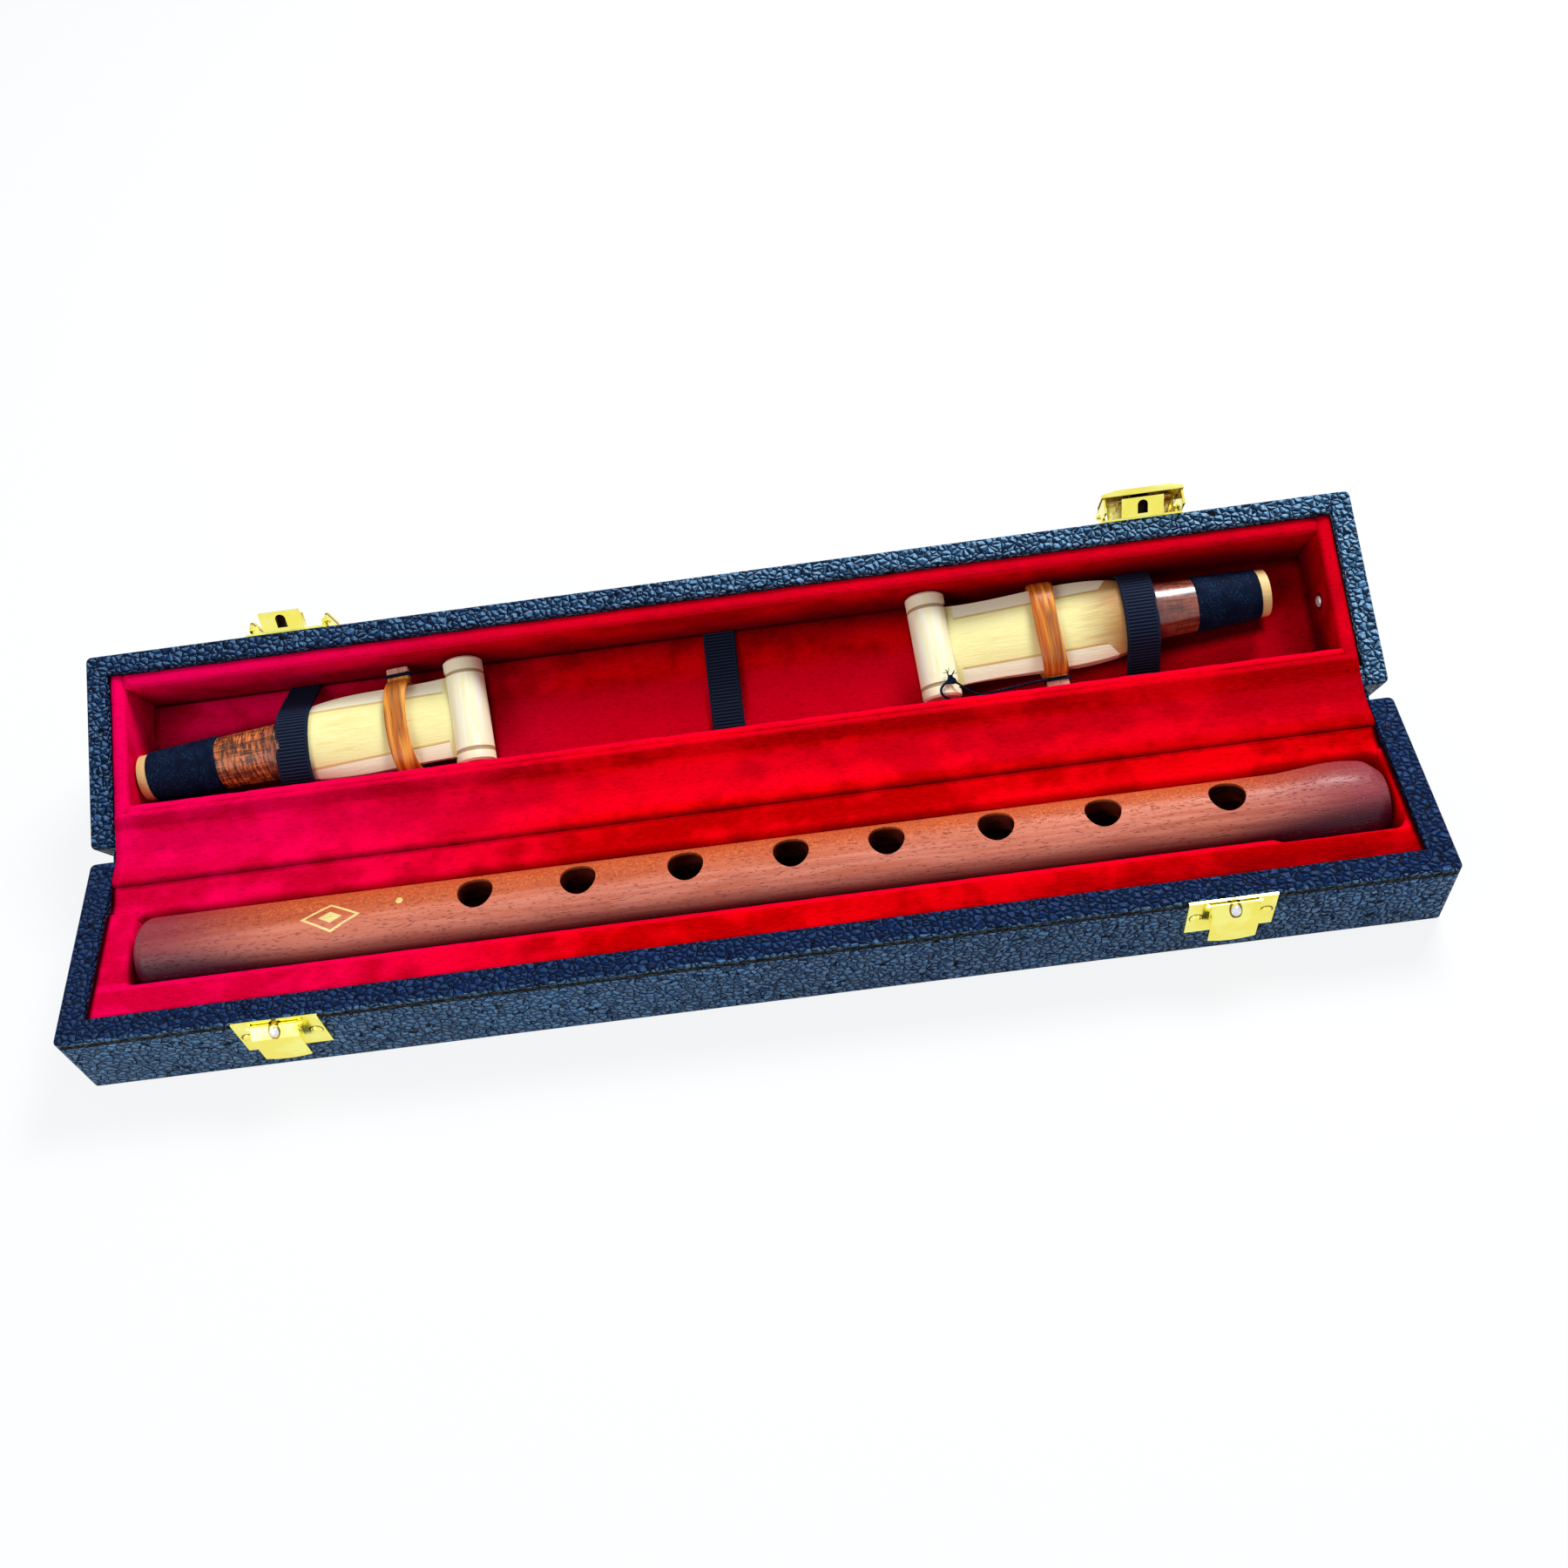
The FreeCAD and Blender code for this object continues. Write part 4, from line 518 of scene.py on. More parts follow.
def cane(side):
    # cream blade with paler scraped edges, dark bark on the neck, cream ring at the tail
    tones, r = caneTones[side], reeds[side]
    look = Look(side + "Cane", (0.95, 0.9, 0.42), 0.42, Coat_Roughness=0.16, **waxy)
    a, y, z = look.measured(reedPlace(side))
    neck, last, burnt = r["neckEnd"] * mm, tones["last"] * mm, tones["scorch"]
    fibre = look.noise(look.joined(a * 0.045, y, z), 2600.0, 4.0, 0.62)
    stripe = look.noise(look.joined(a * 0.1, y, z), 620.0, 3.0, 0.6)
    cross = look.noise(look.joined(a, y * 0.14, z * 0.14), 1300.0, 3.0, 0.7)
    smudge = look.noise(look.joined(a * 0.35, y, z), 160.0, 2.0)
    # the scraped edge starts past a chamfer and ends square, a step short of the cap
    inner = y.size() + a * tones["narrow"] - (tones["root"] + 49.0 * tones["narrow"]) * mm
    started = (a - tones["first"] * mm + inner * 0.9).rise(0.0, 0.0003)
    going = started * (a - last).fall(0.0, 0.0003)
    scraped = inner.rise(0.0, 0.0003) * going
    edgeLine = inner.near(0.00005, 0.00045) * going
    scorch = (a - neck + stripe * 0.012).fall(0.014, 0.032, 0.9 * burnt)
    pale = look.coats(
        look.mix(fibre.rise(0.35, 0.7), (0.98, 0.9, 0.38), (1.0, 0.98, 0.5)),
        (stripe.rise(0.58, 0.74) * 0.45, (0.92, 0.66, 0.2)),
        (smudge.rise(0.57, 0.75) * 0.35, (0.93, 0.7, 0.24)),
        (scraped, look.mix(fibre.rise(0.4, 0.7) * 0.5, (1.0, 1.0, 0.74), (0.99, 0.96, 0.6))),
        (edgeLine * 0.7, (0.72, 0.48, 0.14)),
        (scorch * (1.0 - scraped), (0.42, 0.16, 0.03)),
    )
    ticks = cross.rise(0.46, 0.53) * fibre.rise(0.34, 0.47)
    purple = (a - neck).rise(-0.006, 0.001) * stripe.rise(0.35, 0.6)
    dark = look.coats(
        look.mix(stripe.rise(0.36, 0.56), tuple(0.3 * v for v in tones["neck"]), tones["neck"]),
        (fibre.rise(0.6, 0.8) * 0.5, (0.66, 0.3, 0.12)),
        (ticks * (0.9 - 0.5 * burnt), (0.04, 0.006, 0.004)),
        (purple * 0.7, (0.05, 0.012, 0.03)),
    )
    colour = look.mix((a - neck + (stripe - 0.5) * 0.01).rise(0.0, 0.006), dark, pale)
    ring = (a - (r["threadEnd"] - 2.0) * mm).fall(0.0, 0.001)
    colour = look.mix(ring, colour, (0.84, 0.6, 0.25))
    bark = (a - neck).fall(0.0, 0.004) * (1.0 - ring)
    rough = fibre.rise(0.3, 0.7, 0.36, 0.52) - bark * (0.06 + 0.2 * burnt)
    ridges = look.bump(fibre + stripe * 0.5 + bark * stripe * 1.5 - scraped * 0.8, 0.0001)
    coat = bark * (0.9 * burnt + 0.1)
    return look.use(Base_Color=colour, Roughness=rough, Coat_Weight=coat, Normal=ridges)


def bridleCane(side):
    r = reeds[side]
    look = Look(side + "Bridle", (0.75, 0.28, 0.05), 0.34, Specular_IOR_Level=0.3)
    a, y, z = look.measured(reedPlace(side))
    band = look.noise(look.joined(a, y * 0.05, z * 0.05), 800.0, 3.0, 0.6)
    thin = look.noise(look.joined(a, y * 0.035, z * 0.035), 2600.0, 3.0, 0.6)
    stain = (a - r["bridle"] * mm).near(-0.0006, 0.0022) * y.near(0.004, 0.011) * z.rise(0.0, 0.002)
    # the stub's cut end past the tie is pinker and open-grained
    cut = (y - (r["bridleOut"] + 0.6) * mm).rise(0.0, 0.0004)
    raw = look.mix(thin.rise(0.45, 0.65), (0.62, 0.3, 0.2), (0.83, 0.5, 0.36))
    colour = look.coats(
        look.mix(band.rise(0.34, 0.66), (0.5, 0.11, 0.01), (0.95, 0.4, 0.055)),
        (thin.rise(0.5, 0.68) * 0.7, (0.34, 0.05, 0.01)),
        (stain * band.rise(0.4, 0.6) * 0.75, (0.1, 0.02, 0.02)),
        (cut, raw),
    )
    rough = band.rise(0.3, 0.7, 0.26, 0.42) + cut * 0.3
    return look.use(Base_Color=colour, Roughness=rough, Normal=look.bump(thin + band, 0.00012))


def capWood(side):
    look = Look(side + "Cap", (0.97, 0.95, 0.7), 0.4, **waxy)
    a, y, z = look.measured(reedPlace(side))
    grain = look.noise(look.joined(a, y * 0.05, z), 1300.0, 3.0, 0.6)
    stain = look.noise(look.joined(a * 0.6, y * 0.25, z * 0.6), 420.0, 2.0)
    line = y.size().near(0.0114, 0.0007)
    colour = look.coats(
        look.mix(grain.rise(0.38, 0.68), (0.99, 0.95, 0.6), (1.0, 1.0, 0.86)),
        (stain.rise(0.58, 0.74) * 0.4, (0.9, 0.82, 0.3)),
        (line * 0.8, (0.32, 0.16, 0.05)),
    )
    rough = grain.rise(0.3, 0.7, 0.34, 0.5)
    return look.use(Base_Color=colour, Roughness=rough, Normal=look.bump(grain, 0.00006))


def blackThread():
    look = Look("blackThread", (0.002, 0.007, 0.03), 0.7, Specular_IOR_Level=0.08)
    spot = look.spot()
    fuzz = look.noise(spot, 2600.0, 3.0, 0.7)
    worn = look.noise(spot, 210.0, 2.0)
    # lighter blue fuzz, in patches: painted highlights on stray fibres
    colour = look.mix(fuzz.rise(0.5, 0.7) * worn.rise(0.35, 0.6), (0.0, 0.003, 0.016), (0.014, 0.06, 0.15))
    return look.use(Base_Color=colour, Normal=look.bump(fuzz, 0.00008))


def elastic():
    # the band's own map: across it from the middle, and along it, in metres
    look = Look("elastic", (0.004, 0.008, 0.03), 0.72, Specular_IOR_Level=0.08)
    across, length, _ = look.parts(look.node("UVMap", uv_map="UVMap"))
    edge, rib = strapSizes["plain"] * mm, strapSizes["rib"] * mm
    plain = across.size().rise(edge, edge + 0.00015)
    # ribs marks the rib crests, which are painted lighter and the hollows between them darker, as light and
    # shade
    ribs = (length * (turn / rib)).op("COSINE").rise(-0.2, 0.9) * (1.0 - plain)
    stitch = (length * (2 * turn / rib)).op("SINE")
    yarn = (across * (turn / 0.00045)).op("SINE")
    colour = look.coats(
        look.mix(ribs, (0.001, 0.002, 0.008), (0.02, 0.035, 0.085)),
        (plain * stitch.rise(0.0, 0.9), (0.03, 0.05, 0.11)),
        (yarn.rise(0.2, 0.9) * 0.4, (0.002, 0.004, 0.014)),
    )
    return look.use(Base_Color=colour, Normal=look.bump(yarn * 0.4 + stitch * plain, 0.00006))


fittings = {
    "screws": (-128.72, -111.32, 111.32, 128.72), "screwZ": 16.3, "screw": 1.55,
    "stud": 1.35, "line": 0.00034,
}


def gold(name, drilled):
    # drilled plates and levers get a line of painted shade round each screw head and stud
    look = Look(name, (0.97, 0.88, 0.28), 0.2, Metallic=1.0)
    spot = look.spot()
    x, y, z = look.parts(spot)
    wear = look.noise(spot, 170.0, 2.0, 0.5)
    brush = look.noise(spot.scaled(0.2), 2400.0, 2.0)
    pits = look.noise(spot, 1700.0, 2.0).rise(0.72, 0.78)
    colour = look.mix(wear.rise(0.4, 0.66), (0.97, 0.86, 0.14), (1.0, 0.96, 0.25))
    colour = look.mix(pits * 0.3, colour, (0.5, 0.32, 0.05))
    if drilled:
        f = fittings
        stud = np.mean(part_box("latch_stud_left"), 0) / mm
        marks = [(place, f["screwZ"], f["screw"]) for place in f["screws"]]
        marks += [(sign * float(stud[0]), float(stud[2]), f["stud"]) for sign in (1, -1)]
        for place, height, radius in marks:
            ring = (x - place * mm).away(z - height * mm).near(radius * mm, f["line"])
            colour = look.mix(ring * y.fall(-0.02, -0.019, 0.9), colour, (0.12, 0.05, 0.008))
    else:
        # a painted reflection, dark red-brown, on the covers' inner faces
        u, w = look.measured(inLid, (0, 1, 0), (0, 0, 1))
        inner = (u - keeper["face"] * mm).near(0.0052, 0.0005) * w.fall(0.004, 0.0046)
        colour = look.mix(inner * wear.rise(0.3, 0.5, 0.5, 0.9), colour, (0.22, 0.06, 0.01))
    rough = wear.rise(0.3, 0.7, 0.12, 0.2) + pits * 0.2
    return look.use(Base_Color=colour, Roughness=rough, Normal=look.bump(brush * 0.5 - pits, 0.00001))


keeper = {
    "face": 55.0, "x": 120.02, "thick": 0.3, "half": {"left": 5.6, "right": 9.2},
    "line": [(0.7, -3.4), (0.9, -2.3), (2.6, -2.0), (4.0, -1.1), (4.95, 0.3)],
}


def shadedBrass():
    # painted shade behind the slot, and streaked with dark at its sides
    look = Look("shadedBrass", (0.3, 0.14, 0.03), 0.3, Metallic=0.7, Specular_IOR_Level=0.2)
    spot = look.spot()
    x = look.parts(spot)[0]
    streak = look.noise(spot.scaled(1.0, 0.5, 0.5), 420.0, 3.0, 0.6)
    beside = (x.size() - keeper["x"] * mm).size()
    colour = look.mix(streak.rise(0.38, 0.5), (0.3, 0.12, 0.015), (0.99, 0.9, 0.28))
    colour = look.mix(beside.fall(0.002, 0.0028), colour, (0.012, 0.005, 0.002))
    return look.use(Base_Color=colour, Roughness=streak.rise(0.3, 0.7, 0.2, 0.5))


def steel(name, roughness, metal):
    look = Look(name, (0.78, 0.79, 0.82), roughness, Metallic=metal)
    wear = look.noise(look.spot(), 900.0, 3.0)
    colour = look.mix(wear.rise(0.3, 0.7), (0.7, 0.71, 0.74), (0.9, 0.91, 0.94))
    return look.use(Base_Color=colour, Roughness=wear.rise(0.3, 0.7, roughness - 0.06, roughness + 0.08))


def channelShade(look, x, y, z, u, w):
    # painted highlight on the channel's rounded lips; painted shade deep in the channel, towards the right of
    # the front, in the crease at the rear and in the gaps at the ends
    lips = y.size().near(0.0119, 0.0016) * z.rise(0.0205, 0.0214)
    walls = z.fall(0.005, 0.0205, 0.9) * x.size().fall(0.1705, 0.171)
    right = x.rise(0.0, 0.15) * y.fall(-0.0195, -0.01) * 0.5
    crease = y.near(0.0193, 0.0013) * 0.4
    gap = x.size().rise(0.1677, 0.169) * z.rise(0.019, 0.021)
    return lips * 0.6, walls.most(crease).most(right).most(gap)


def stripShade(look, x, y, z, u, w):
    # a painted highlight on the band that lies flat on the base's rim and on the lip by the lid's board;
    # painted shade in the creases and towards the right
    band = y.rise(0.0215, 0.0245) * u.fall(0.001, 0.0045)
    lip = u.near(0.0085, 0.0009)
    dark = y.fall(0.0196, 0.0212, 0.45).most(u.near(0.0062, 0.0026) * 0.3)
    return (band * 0.32).most(lip * 0.45), dark.most(x.rise(0.0, 0.16, 0.0, 0.25))


def boardShade(strength, footing=0.5):
    def shade(look, x, y, z, u, w):
        # painted highlight on the board's rounded top edge; painted shade low on the wall, more towards the
        # right, along its foot and in the gap beside the leather rim
        lip = w.near(-0.0021, 0.0013)
        low = w.rise(-0.0205, -0.004, 0.9, 0.1) * x.rise(-0.1, 0.08, 0.75, 1.0)
        low = low.most(w.rise(-0.019, -0.0025, 1.0, 0.2) * x.rise(0.04, 0.11, 0.0, 0.98))
        foot = w.fall(-0.0206, -0.0194, 0.95)
        gap = x.size().rise(0.1698, 0.1706).most(u.rise(0.0486, 0.0493)) * w.rise(-0.004, -0.002)
        return lip * 0.7, (low * strength).most(foot * footing).most(gap)
    return shade


def nearShade(look, x, y, z, u, w):
    # painted highlight on the rounded lip; painted shade lower down
    lip = (u - 0.0108).near(0.0, 0.0013) * w.rise(-0.0035, -0.002)
    return lip * 0.8, w.fall(-0.02, -0.003, 0.8)


def rivetShade(look, x, y, z, u, w):
    # a ring of painted shade round the stud
    rest = np.mean(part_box("lid_rivet"), 0) / mm - np.array([0.0, lidRim["y"], lidRim["z"]])
    c, s = math.cos(lidRim["tilt"]), math.sin(lidRim["tilt"])
    ring = (u - (rest[1] * c + rest[2] * s) * mm).away(w - (rest[2] * c - rest[1] * s) * mm)
    light, dark = boardShade(0.85)(look, x, y, z, u, w)
    return light * 0.7, dark.most(ring.fall(0.002, 0.0034))


def padShade(look, x, y, z, u, w):
    # painted shade by the far wall, along the near board's foot, in a line at the far wall's foot and towards
    # the right; a painted pool of light across the middle of the pad
    far = u.rise(0.036, 0.0452) * x.rise(-0.1, 0.1, 0.3, 0.9)
    foot = u.near(0.0114, 0.0018) * 0.7
    line = u.rise(0.0441, 0.0449) * 0.95
    dark = far.most(foot).most(line).most(x.rise(0.11, 0.168, 0.0, 0.5))
    for side in reeds:
        # each reed casts a painted shadow on the pile beside it
        a, across, _ = look.measured(reedPlace(side))
        beside = across.size() - (a * 0.05 + 0.0072)
        held = a.rise(-0.003, 0.001) * a.fall(0.097, 0.1)
        dark = dark.most(beside.fall(0.0, 0.005, 0.95) * held)
    return u.near(0.02, 0.016) * 0.8, dark


strapSizes = {"width": 9.2, "thick": 1.0, "floor": -21.0, "axis": -12.75, "plain": 3.75, "rib": 0.96}

leatherLook = leather().on("base_leather", "lid_leather", "base_board", "lid_board")
velvets = {
    "channel": velvet("velvetChannel", channelShade),
    "strip": velvet("velvetStrip", stripShade),
    "farBoard": velvet("velvetFar", boardShade(1.0, 1.0)),
    "nearBoard": velvet("velvetNear", nearShade),
    "leftBoard": velvet("velvetLeft", boardShade(0.15)),
    "rightBoard": velvet("velvetRight", rivetShade),
    "pad": velvet("velvetPad", padShade),
}
fluteWood().on("flute_body")
elasticLook = elastic()
threadLook = blackThread()
gold("goldDrilled", True).on("latch_plate_left", "latch_plate_right", "latch_lever_left", "latch_lever_right")
gold("gold", False).on(
    "hasp_plate_left", "hasp_plate_right", "hasp_cover_left", "hasp_cover_right",
    "latch_pins", "latch_screws", "cover_pins", "hasp_screws",
)
steel("steel", 0.16, 1.0).on("latch_stud_left", "latch_stud_right")
steel("paleSteel", 0.36, 0.5).on("lid_rivet")
bridleLooks = {side: bridleCane(side) for side in reeds}
for side in reeds:
    cane(side).on("reed_%s_cane" % side)
    bridleLooks[side].on("reed_%s_bridle" % side)
    capWood(side).on("reed_%s_cap" % side)
print("materials")


# Cord: the thread that keeps the right reed's cap, from the bridle's tie round the cap's end to a knot

tether = {
    "points": [
        (64.5, 14.6, 2.3), (67.0, 14.9, 3.3), (72.5, 15.1, 2.4), (79.353, 15.3, 1.7), (86.002, 16.0, 1.1005),
        (91.2365, 16.15, 3.55), (94.3085, 15.1965, 6.603), (94.193, 12.5015, 7.1), (90.9205, 11.0, 6.106),
    ],
    "radius": 0.35,
    "length": 0.0373,
}


def curveAlong(name, points, radius, look):
    curve = bpy.data.curves.new(name, "CURVE")
    curve.dimensions = "3D"
    curve.bevel_depth = radius * mm
    curve.bevel_resolution = 3
    curve.use_fill_caps = True
    line = curve.splines.new("NURBS")
    line.points.add(len(points) - 1)
    places = np.concatenate([np.asarray(points) * mm, np.ones((len(points), 1))], 1)
    line.points.foreach_set("co", places.astype(np.float32).ravel())
    line.order_u = 3
    line.use_endpoint_u = True
    line.resolution_u = 16
    curve.materials.append(look.material)
    return linked(name, curve)


def merged(name, side, grids, look, body, loops=0):
    # one piece of closed forms along a reed, each a grid of rings; in the first few the last meets the first
    points, faces, start = [], [], 0
    for i, grid in enumerate(grids):
        rows, cols = grid.shape[:2]
        faces += [[start + corner for corner in face] for face in ringFaces(rows, cols, i < loops)]
        points.append(inReed(side, *np.moveaxis(grid, -1, 0)).reshape(-1, 3))
        start += rows * cols
    thing = meshObject(name, np.concatenate(points), faces, look)
    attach(thing, body)
    return thing


def signed(values, power):
    return np.sign(values) * np.abs(values) ** power


knot = {"centre": (90.9, 11.0, 5.75), "size": 0.4, "radius": 0.34, "thin": 0.24}


def capKnot():
    # a trefoil, (sin t + 2 sin 2t, cos t - 2 cos 2t, -sin 3t), its frayed ends and the strand back to the tie
    t = np.linspace(0, turn, 121)
    line = np.stack([np.sin(t) + 2 * np.sin(2 * t), np.cos(t) - 2 * np.cos(2 * t), -np.sin(3 * t)], 1)
    strands = [strand(np.add(knot["centre"], knot["size"] * line), knot["radius"], (0.0, 0.0, 1.0))]
    ends = [
        [(90.9, 10.6, 6.1), (91.6, 9.7, 6.5), (91.5, 8.9, 6.9), (92.0, 8.1, 6.7)],
        [(90.6, 10.5, 6.1), (90.4, 9.7, 6.7), (89.8, 9.1, 6.9), (89.6, 8.6, 6.5)],
        [(91.6, 9.2, 6.8), (92.3, 8.9, 6.9), (92.9, 8.9, 6.7)],
        [(90.2, 9.5, 6.8), (89.5, 9.7, 6.9), (89.0, 9.4, 6.7)],
        [(91.5, 9.1, 6.8), (91.1, 8.3, 7.0), (91.1, 7.7, 6.8)],
    ]
    for k, end in enumerate(ends):
        line = softened(end)
        share = np.linspace(0, 1, len(line))
        reach = knot["thin"] * (1 - 0.6 * share) * (1.0 if k < 2 else 0.5)
        strands.append(strand(line, reach, (0.1, 0.2, 1.0), 8))
    back = [(90.6, 11.3, 6.0), (88.6, 12.6, 5.3), (86.6, 14.0, 3.4), (84.0, 15.3, 1.4), (80.5, 15.85, 0.45)]
    strands.append(strand(softened(back), 0.28, (0.3, 0.2, 1.0)))
    thing = merged("capKnot", "right", strands, threadLook, "cap_right")
    return thing


tetherPoints = inReed("right", *np.array(tether["points"]).T)
tetherLine = curveAlong("capTether", tetherPoints, tether["radius"], threadLook)
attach(tetherLine, "cap_right")
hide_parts("reed_right_tether")
capKnot()
print("cord")


# Wound thread on the necks and the bridles' ties

winding = {"first": 2.6, "tail": 7.1, "neck": 8.0, "pitch": 0.46, "rise": 0.09, "cane": 6.5, "caneNeck": 8.0}


def woundThread(side):
    # outer radius = cone - rise + rise |cos(pi (a / pitch + t / 2 pi))|, rolled in by each end
    p, r = winding, reeds[side]
    a = np.linspace(p["first"], r["threadEnd"], int((r["threadEnd"] - p["first"]) / p["pitch"] * 8))
    t = circle(80)
    share = (a - p["first"]) / (r["threadEnd"] - p["first"])
    turns = np.abs(np.cos(math.pi * (a[:, None] / p["pitch"] + t[None] / turn)))
    end = np.minimum(a - a[0], a[-1] - a)
    roll = 0.35 * (1 - np.sqrt(1 - (1 - np.clip(end / 0.5, 0, 1)) ** 2))
    cone = p["tail"] + (p["neck"] - p["tail"]) * share
    slack = 0.05 * np.sin(a[:, None] * 2.1 + 2 * np.cos(t[None]))
    outer = (cone - p["rise"] - 0.05 - roll)[:, None] + p["rise"] * turns + slack
    inner = p["cane"] + (p["caneNeck"] - p["cane"]) * a[::-1, None] / r["neckEnd"] + 0.02 + 0 * t[None]
    radius = np.concatenate([outer, inner])
    a = np.concatenate([a, a[::-1]])[:, None]
    grid = inReed(side, a, radius * np.cos(t)[None], radius * np.sin(t)[None])
    thing = tube(side + "Winding", grid, threadLook, loop=True)
    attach(thing, "reed_" + side)
    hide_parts("reed_%s_thread" % side)


tieSizes = {
    "turns": 3, "pitch": 0.3024, "first": 0.66, "radius": 0.23,
    "halfWide": 3.2, "halfThick": 1.2, "clear": 0.24, "square": 0.35,
}


def bridleTie(side):
    # turns round the stub: a = wide |cos t|^square, z = thick |sin t|^square, y = first + pitch t / turn
    p, r = tieSizes, reeds[side]
    t = np.linspace(0, turn * p["turns"], 110 * p["turns"])
    c, s = np.cos(t), np.sin(t)
    a = r["bridle"] + (p["halfWide"] + p["clear"]) * signed(c, p["square"])
    z = (p["halfThick"] + p["clear"]) * signed(s, p["square"])
    y = r["bridleOut"] + p["first"] + p["pitch"] * t / turn
    line = along(np.stack([a, y, z], 1), 0.12)
    strands = [strand(line, p["radius"], (0.0, 1.0, 0.0), 8)]
    corner = (r["bridle"] + 2.6, r["bridleOut"] + 1.1, p["halfThick"] + 0.45)
    bump = [(-0.5, -0.4, 0.0), (0.2, 0.4, 0.25), (0.7, -0.3, 0.1), (0.1, -0.5, 0.2), (-0.2, 0.3, 0.1)]
    strands.append(strand(softened(np.add(corner, bump)), 0.27, (0.2, 0.1, 1.0), 8))
    tail = [(0.27, 0.0, 0.09), (0.81, -0.09, 0.135), (1.08, -0.45, -0.27), (1.125, -0.81, -0.9)]
    strands.append(strand(softened(np.add(corner, tail)), 0.18, (0.2, 1.0, 0.4), 8))
    thing = merged(side + "Tie", side, strands, threadLook, "bridle_" + side)
    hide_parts("reed_%s_bridle_tie" % side)


hoopSizes = {
    "left": {"wide": 13.07, "tall": 5.38, "half": 3.05, "bow": -1.3},
    "right": {"wide": 13.0, "tall": 6.34, "half": 3.3, "bow": 0.7},
    "thick": 1.5, "stubIn": 0.9, "stubOut": 3.3, "stubHalf": 3.1, "leaf": 0.56, "leafSpot": 0.62,
}


def bridleHoop(side):
    # middle line y = wide |cos t|^0.62, z = tall |sin t|^0.91, bowed by bow (1 - (y / wide)^2) along the reed
    # section: half |cos v|^0.45 along the reed and thick / 2 |sin v|^0.8 out, each with its sign
    p, r, s = hoopSizes[side], reeds[side], hoopSizes
    t = np.linspace(0, turn, 721)
    line = np.stack([p["wide"] * signed(np.cos(t), 0.62), p["tall"] * signed(np.sin(t), 0.91)], 1)
    line = along(line, 0.6)[:-1]
    run = unit(np.roll(line, -1, 0) - np.roll(line, 1, 0))
    v = circle(28)
    share = np.abs(line[:, 0] / p["wide"])[:, None]
    half = p["half"] * (1 + 0.06 * share ** 3)
    a = r["bridle"] + p["bow"] * (1 - share ** 2) + half * signed(np.cos(v), 0.45)[None]
    reach = s["thick"] / 2 * signed(np.sin(v), 0.8)[None]
    y = line[:, :1] + run[:, 1:] * reach
    z = line[:, 1:] - run[:, :1] * reach
    grids = [np.stack([a, y, z], -1)]
    # the cane's two ends lie together as the stub: a = half |cos v|^0.3, z = leaf |sin v|^0.4
    end = np.array([0.9, 0.98, 1.0, 1.0, 1.0, 0.98, 0.9])[:, None]
    low, high = r["bridleOut"] - s["stubIn"], r["bridleOut"] + s["stubOut"]
    out = np.array([low, low + 0.12, low + 0.4, (low + high) / 2, high - 0.4, high - 0.12, high])[:, None]
    for sign in (1, -1):
        a = r["bridle"] + end * s["stubHalf"] * signed(np.cos(v), 0.3)[None]
        z = sign * s["leafSpot"] + end * s["leaf"] * signed(np.sin(v), 0.4)[None]
        grids.append(np.stack([a, out + 0 * a, z], -1))
    thing = merged(side + "Bridle", side, grids, bridleLooks[side], "bridle_" + side, 1)
    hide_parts("reed_%s_bridle" % side)


for side in reeds:
    woundThread(side)
    bridleTie(side)
    bridleHoop(side)
print("threads and bridles")


# Velvet block in the base

block = {
    "halfX": 169.7, "halfY": 20.7, "bottom": 3.0, "top": 22.0,
    "channelLeft": -162.0, "channelRight": 168.0, "halfWidth": 11.0, "channelBottom": 4.9,
    "bulbStart": 137.0, "bulbHalfWidth": 12.15, "bulbBottom": 3.25, "bulbRamp": 3.0,
    "lip": 1.7, "foot": 4.5, "planRound": 3.0, "rearLip": 20.7, "crease": 19.3,
}


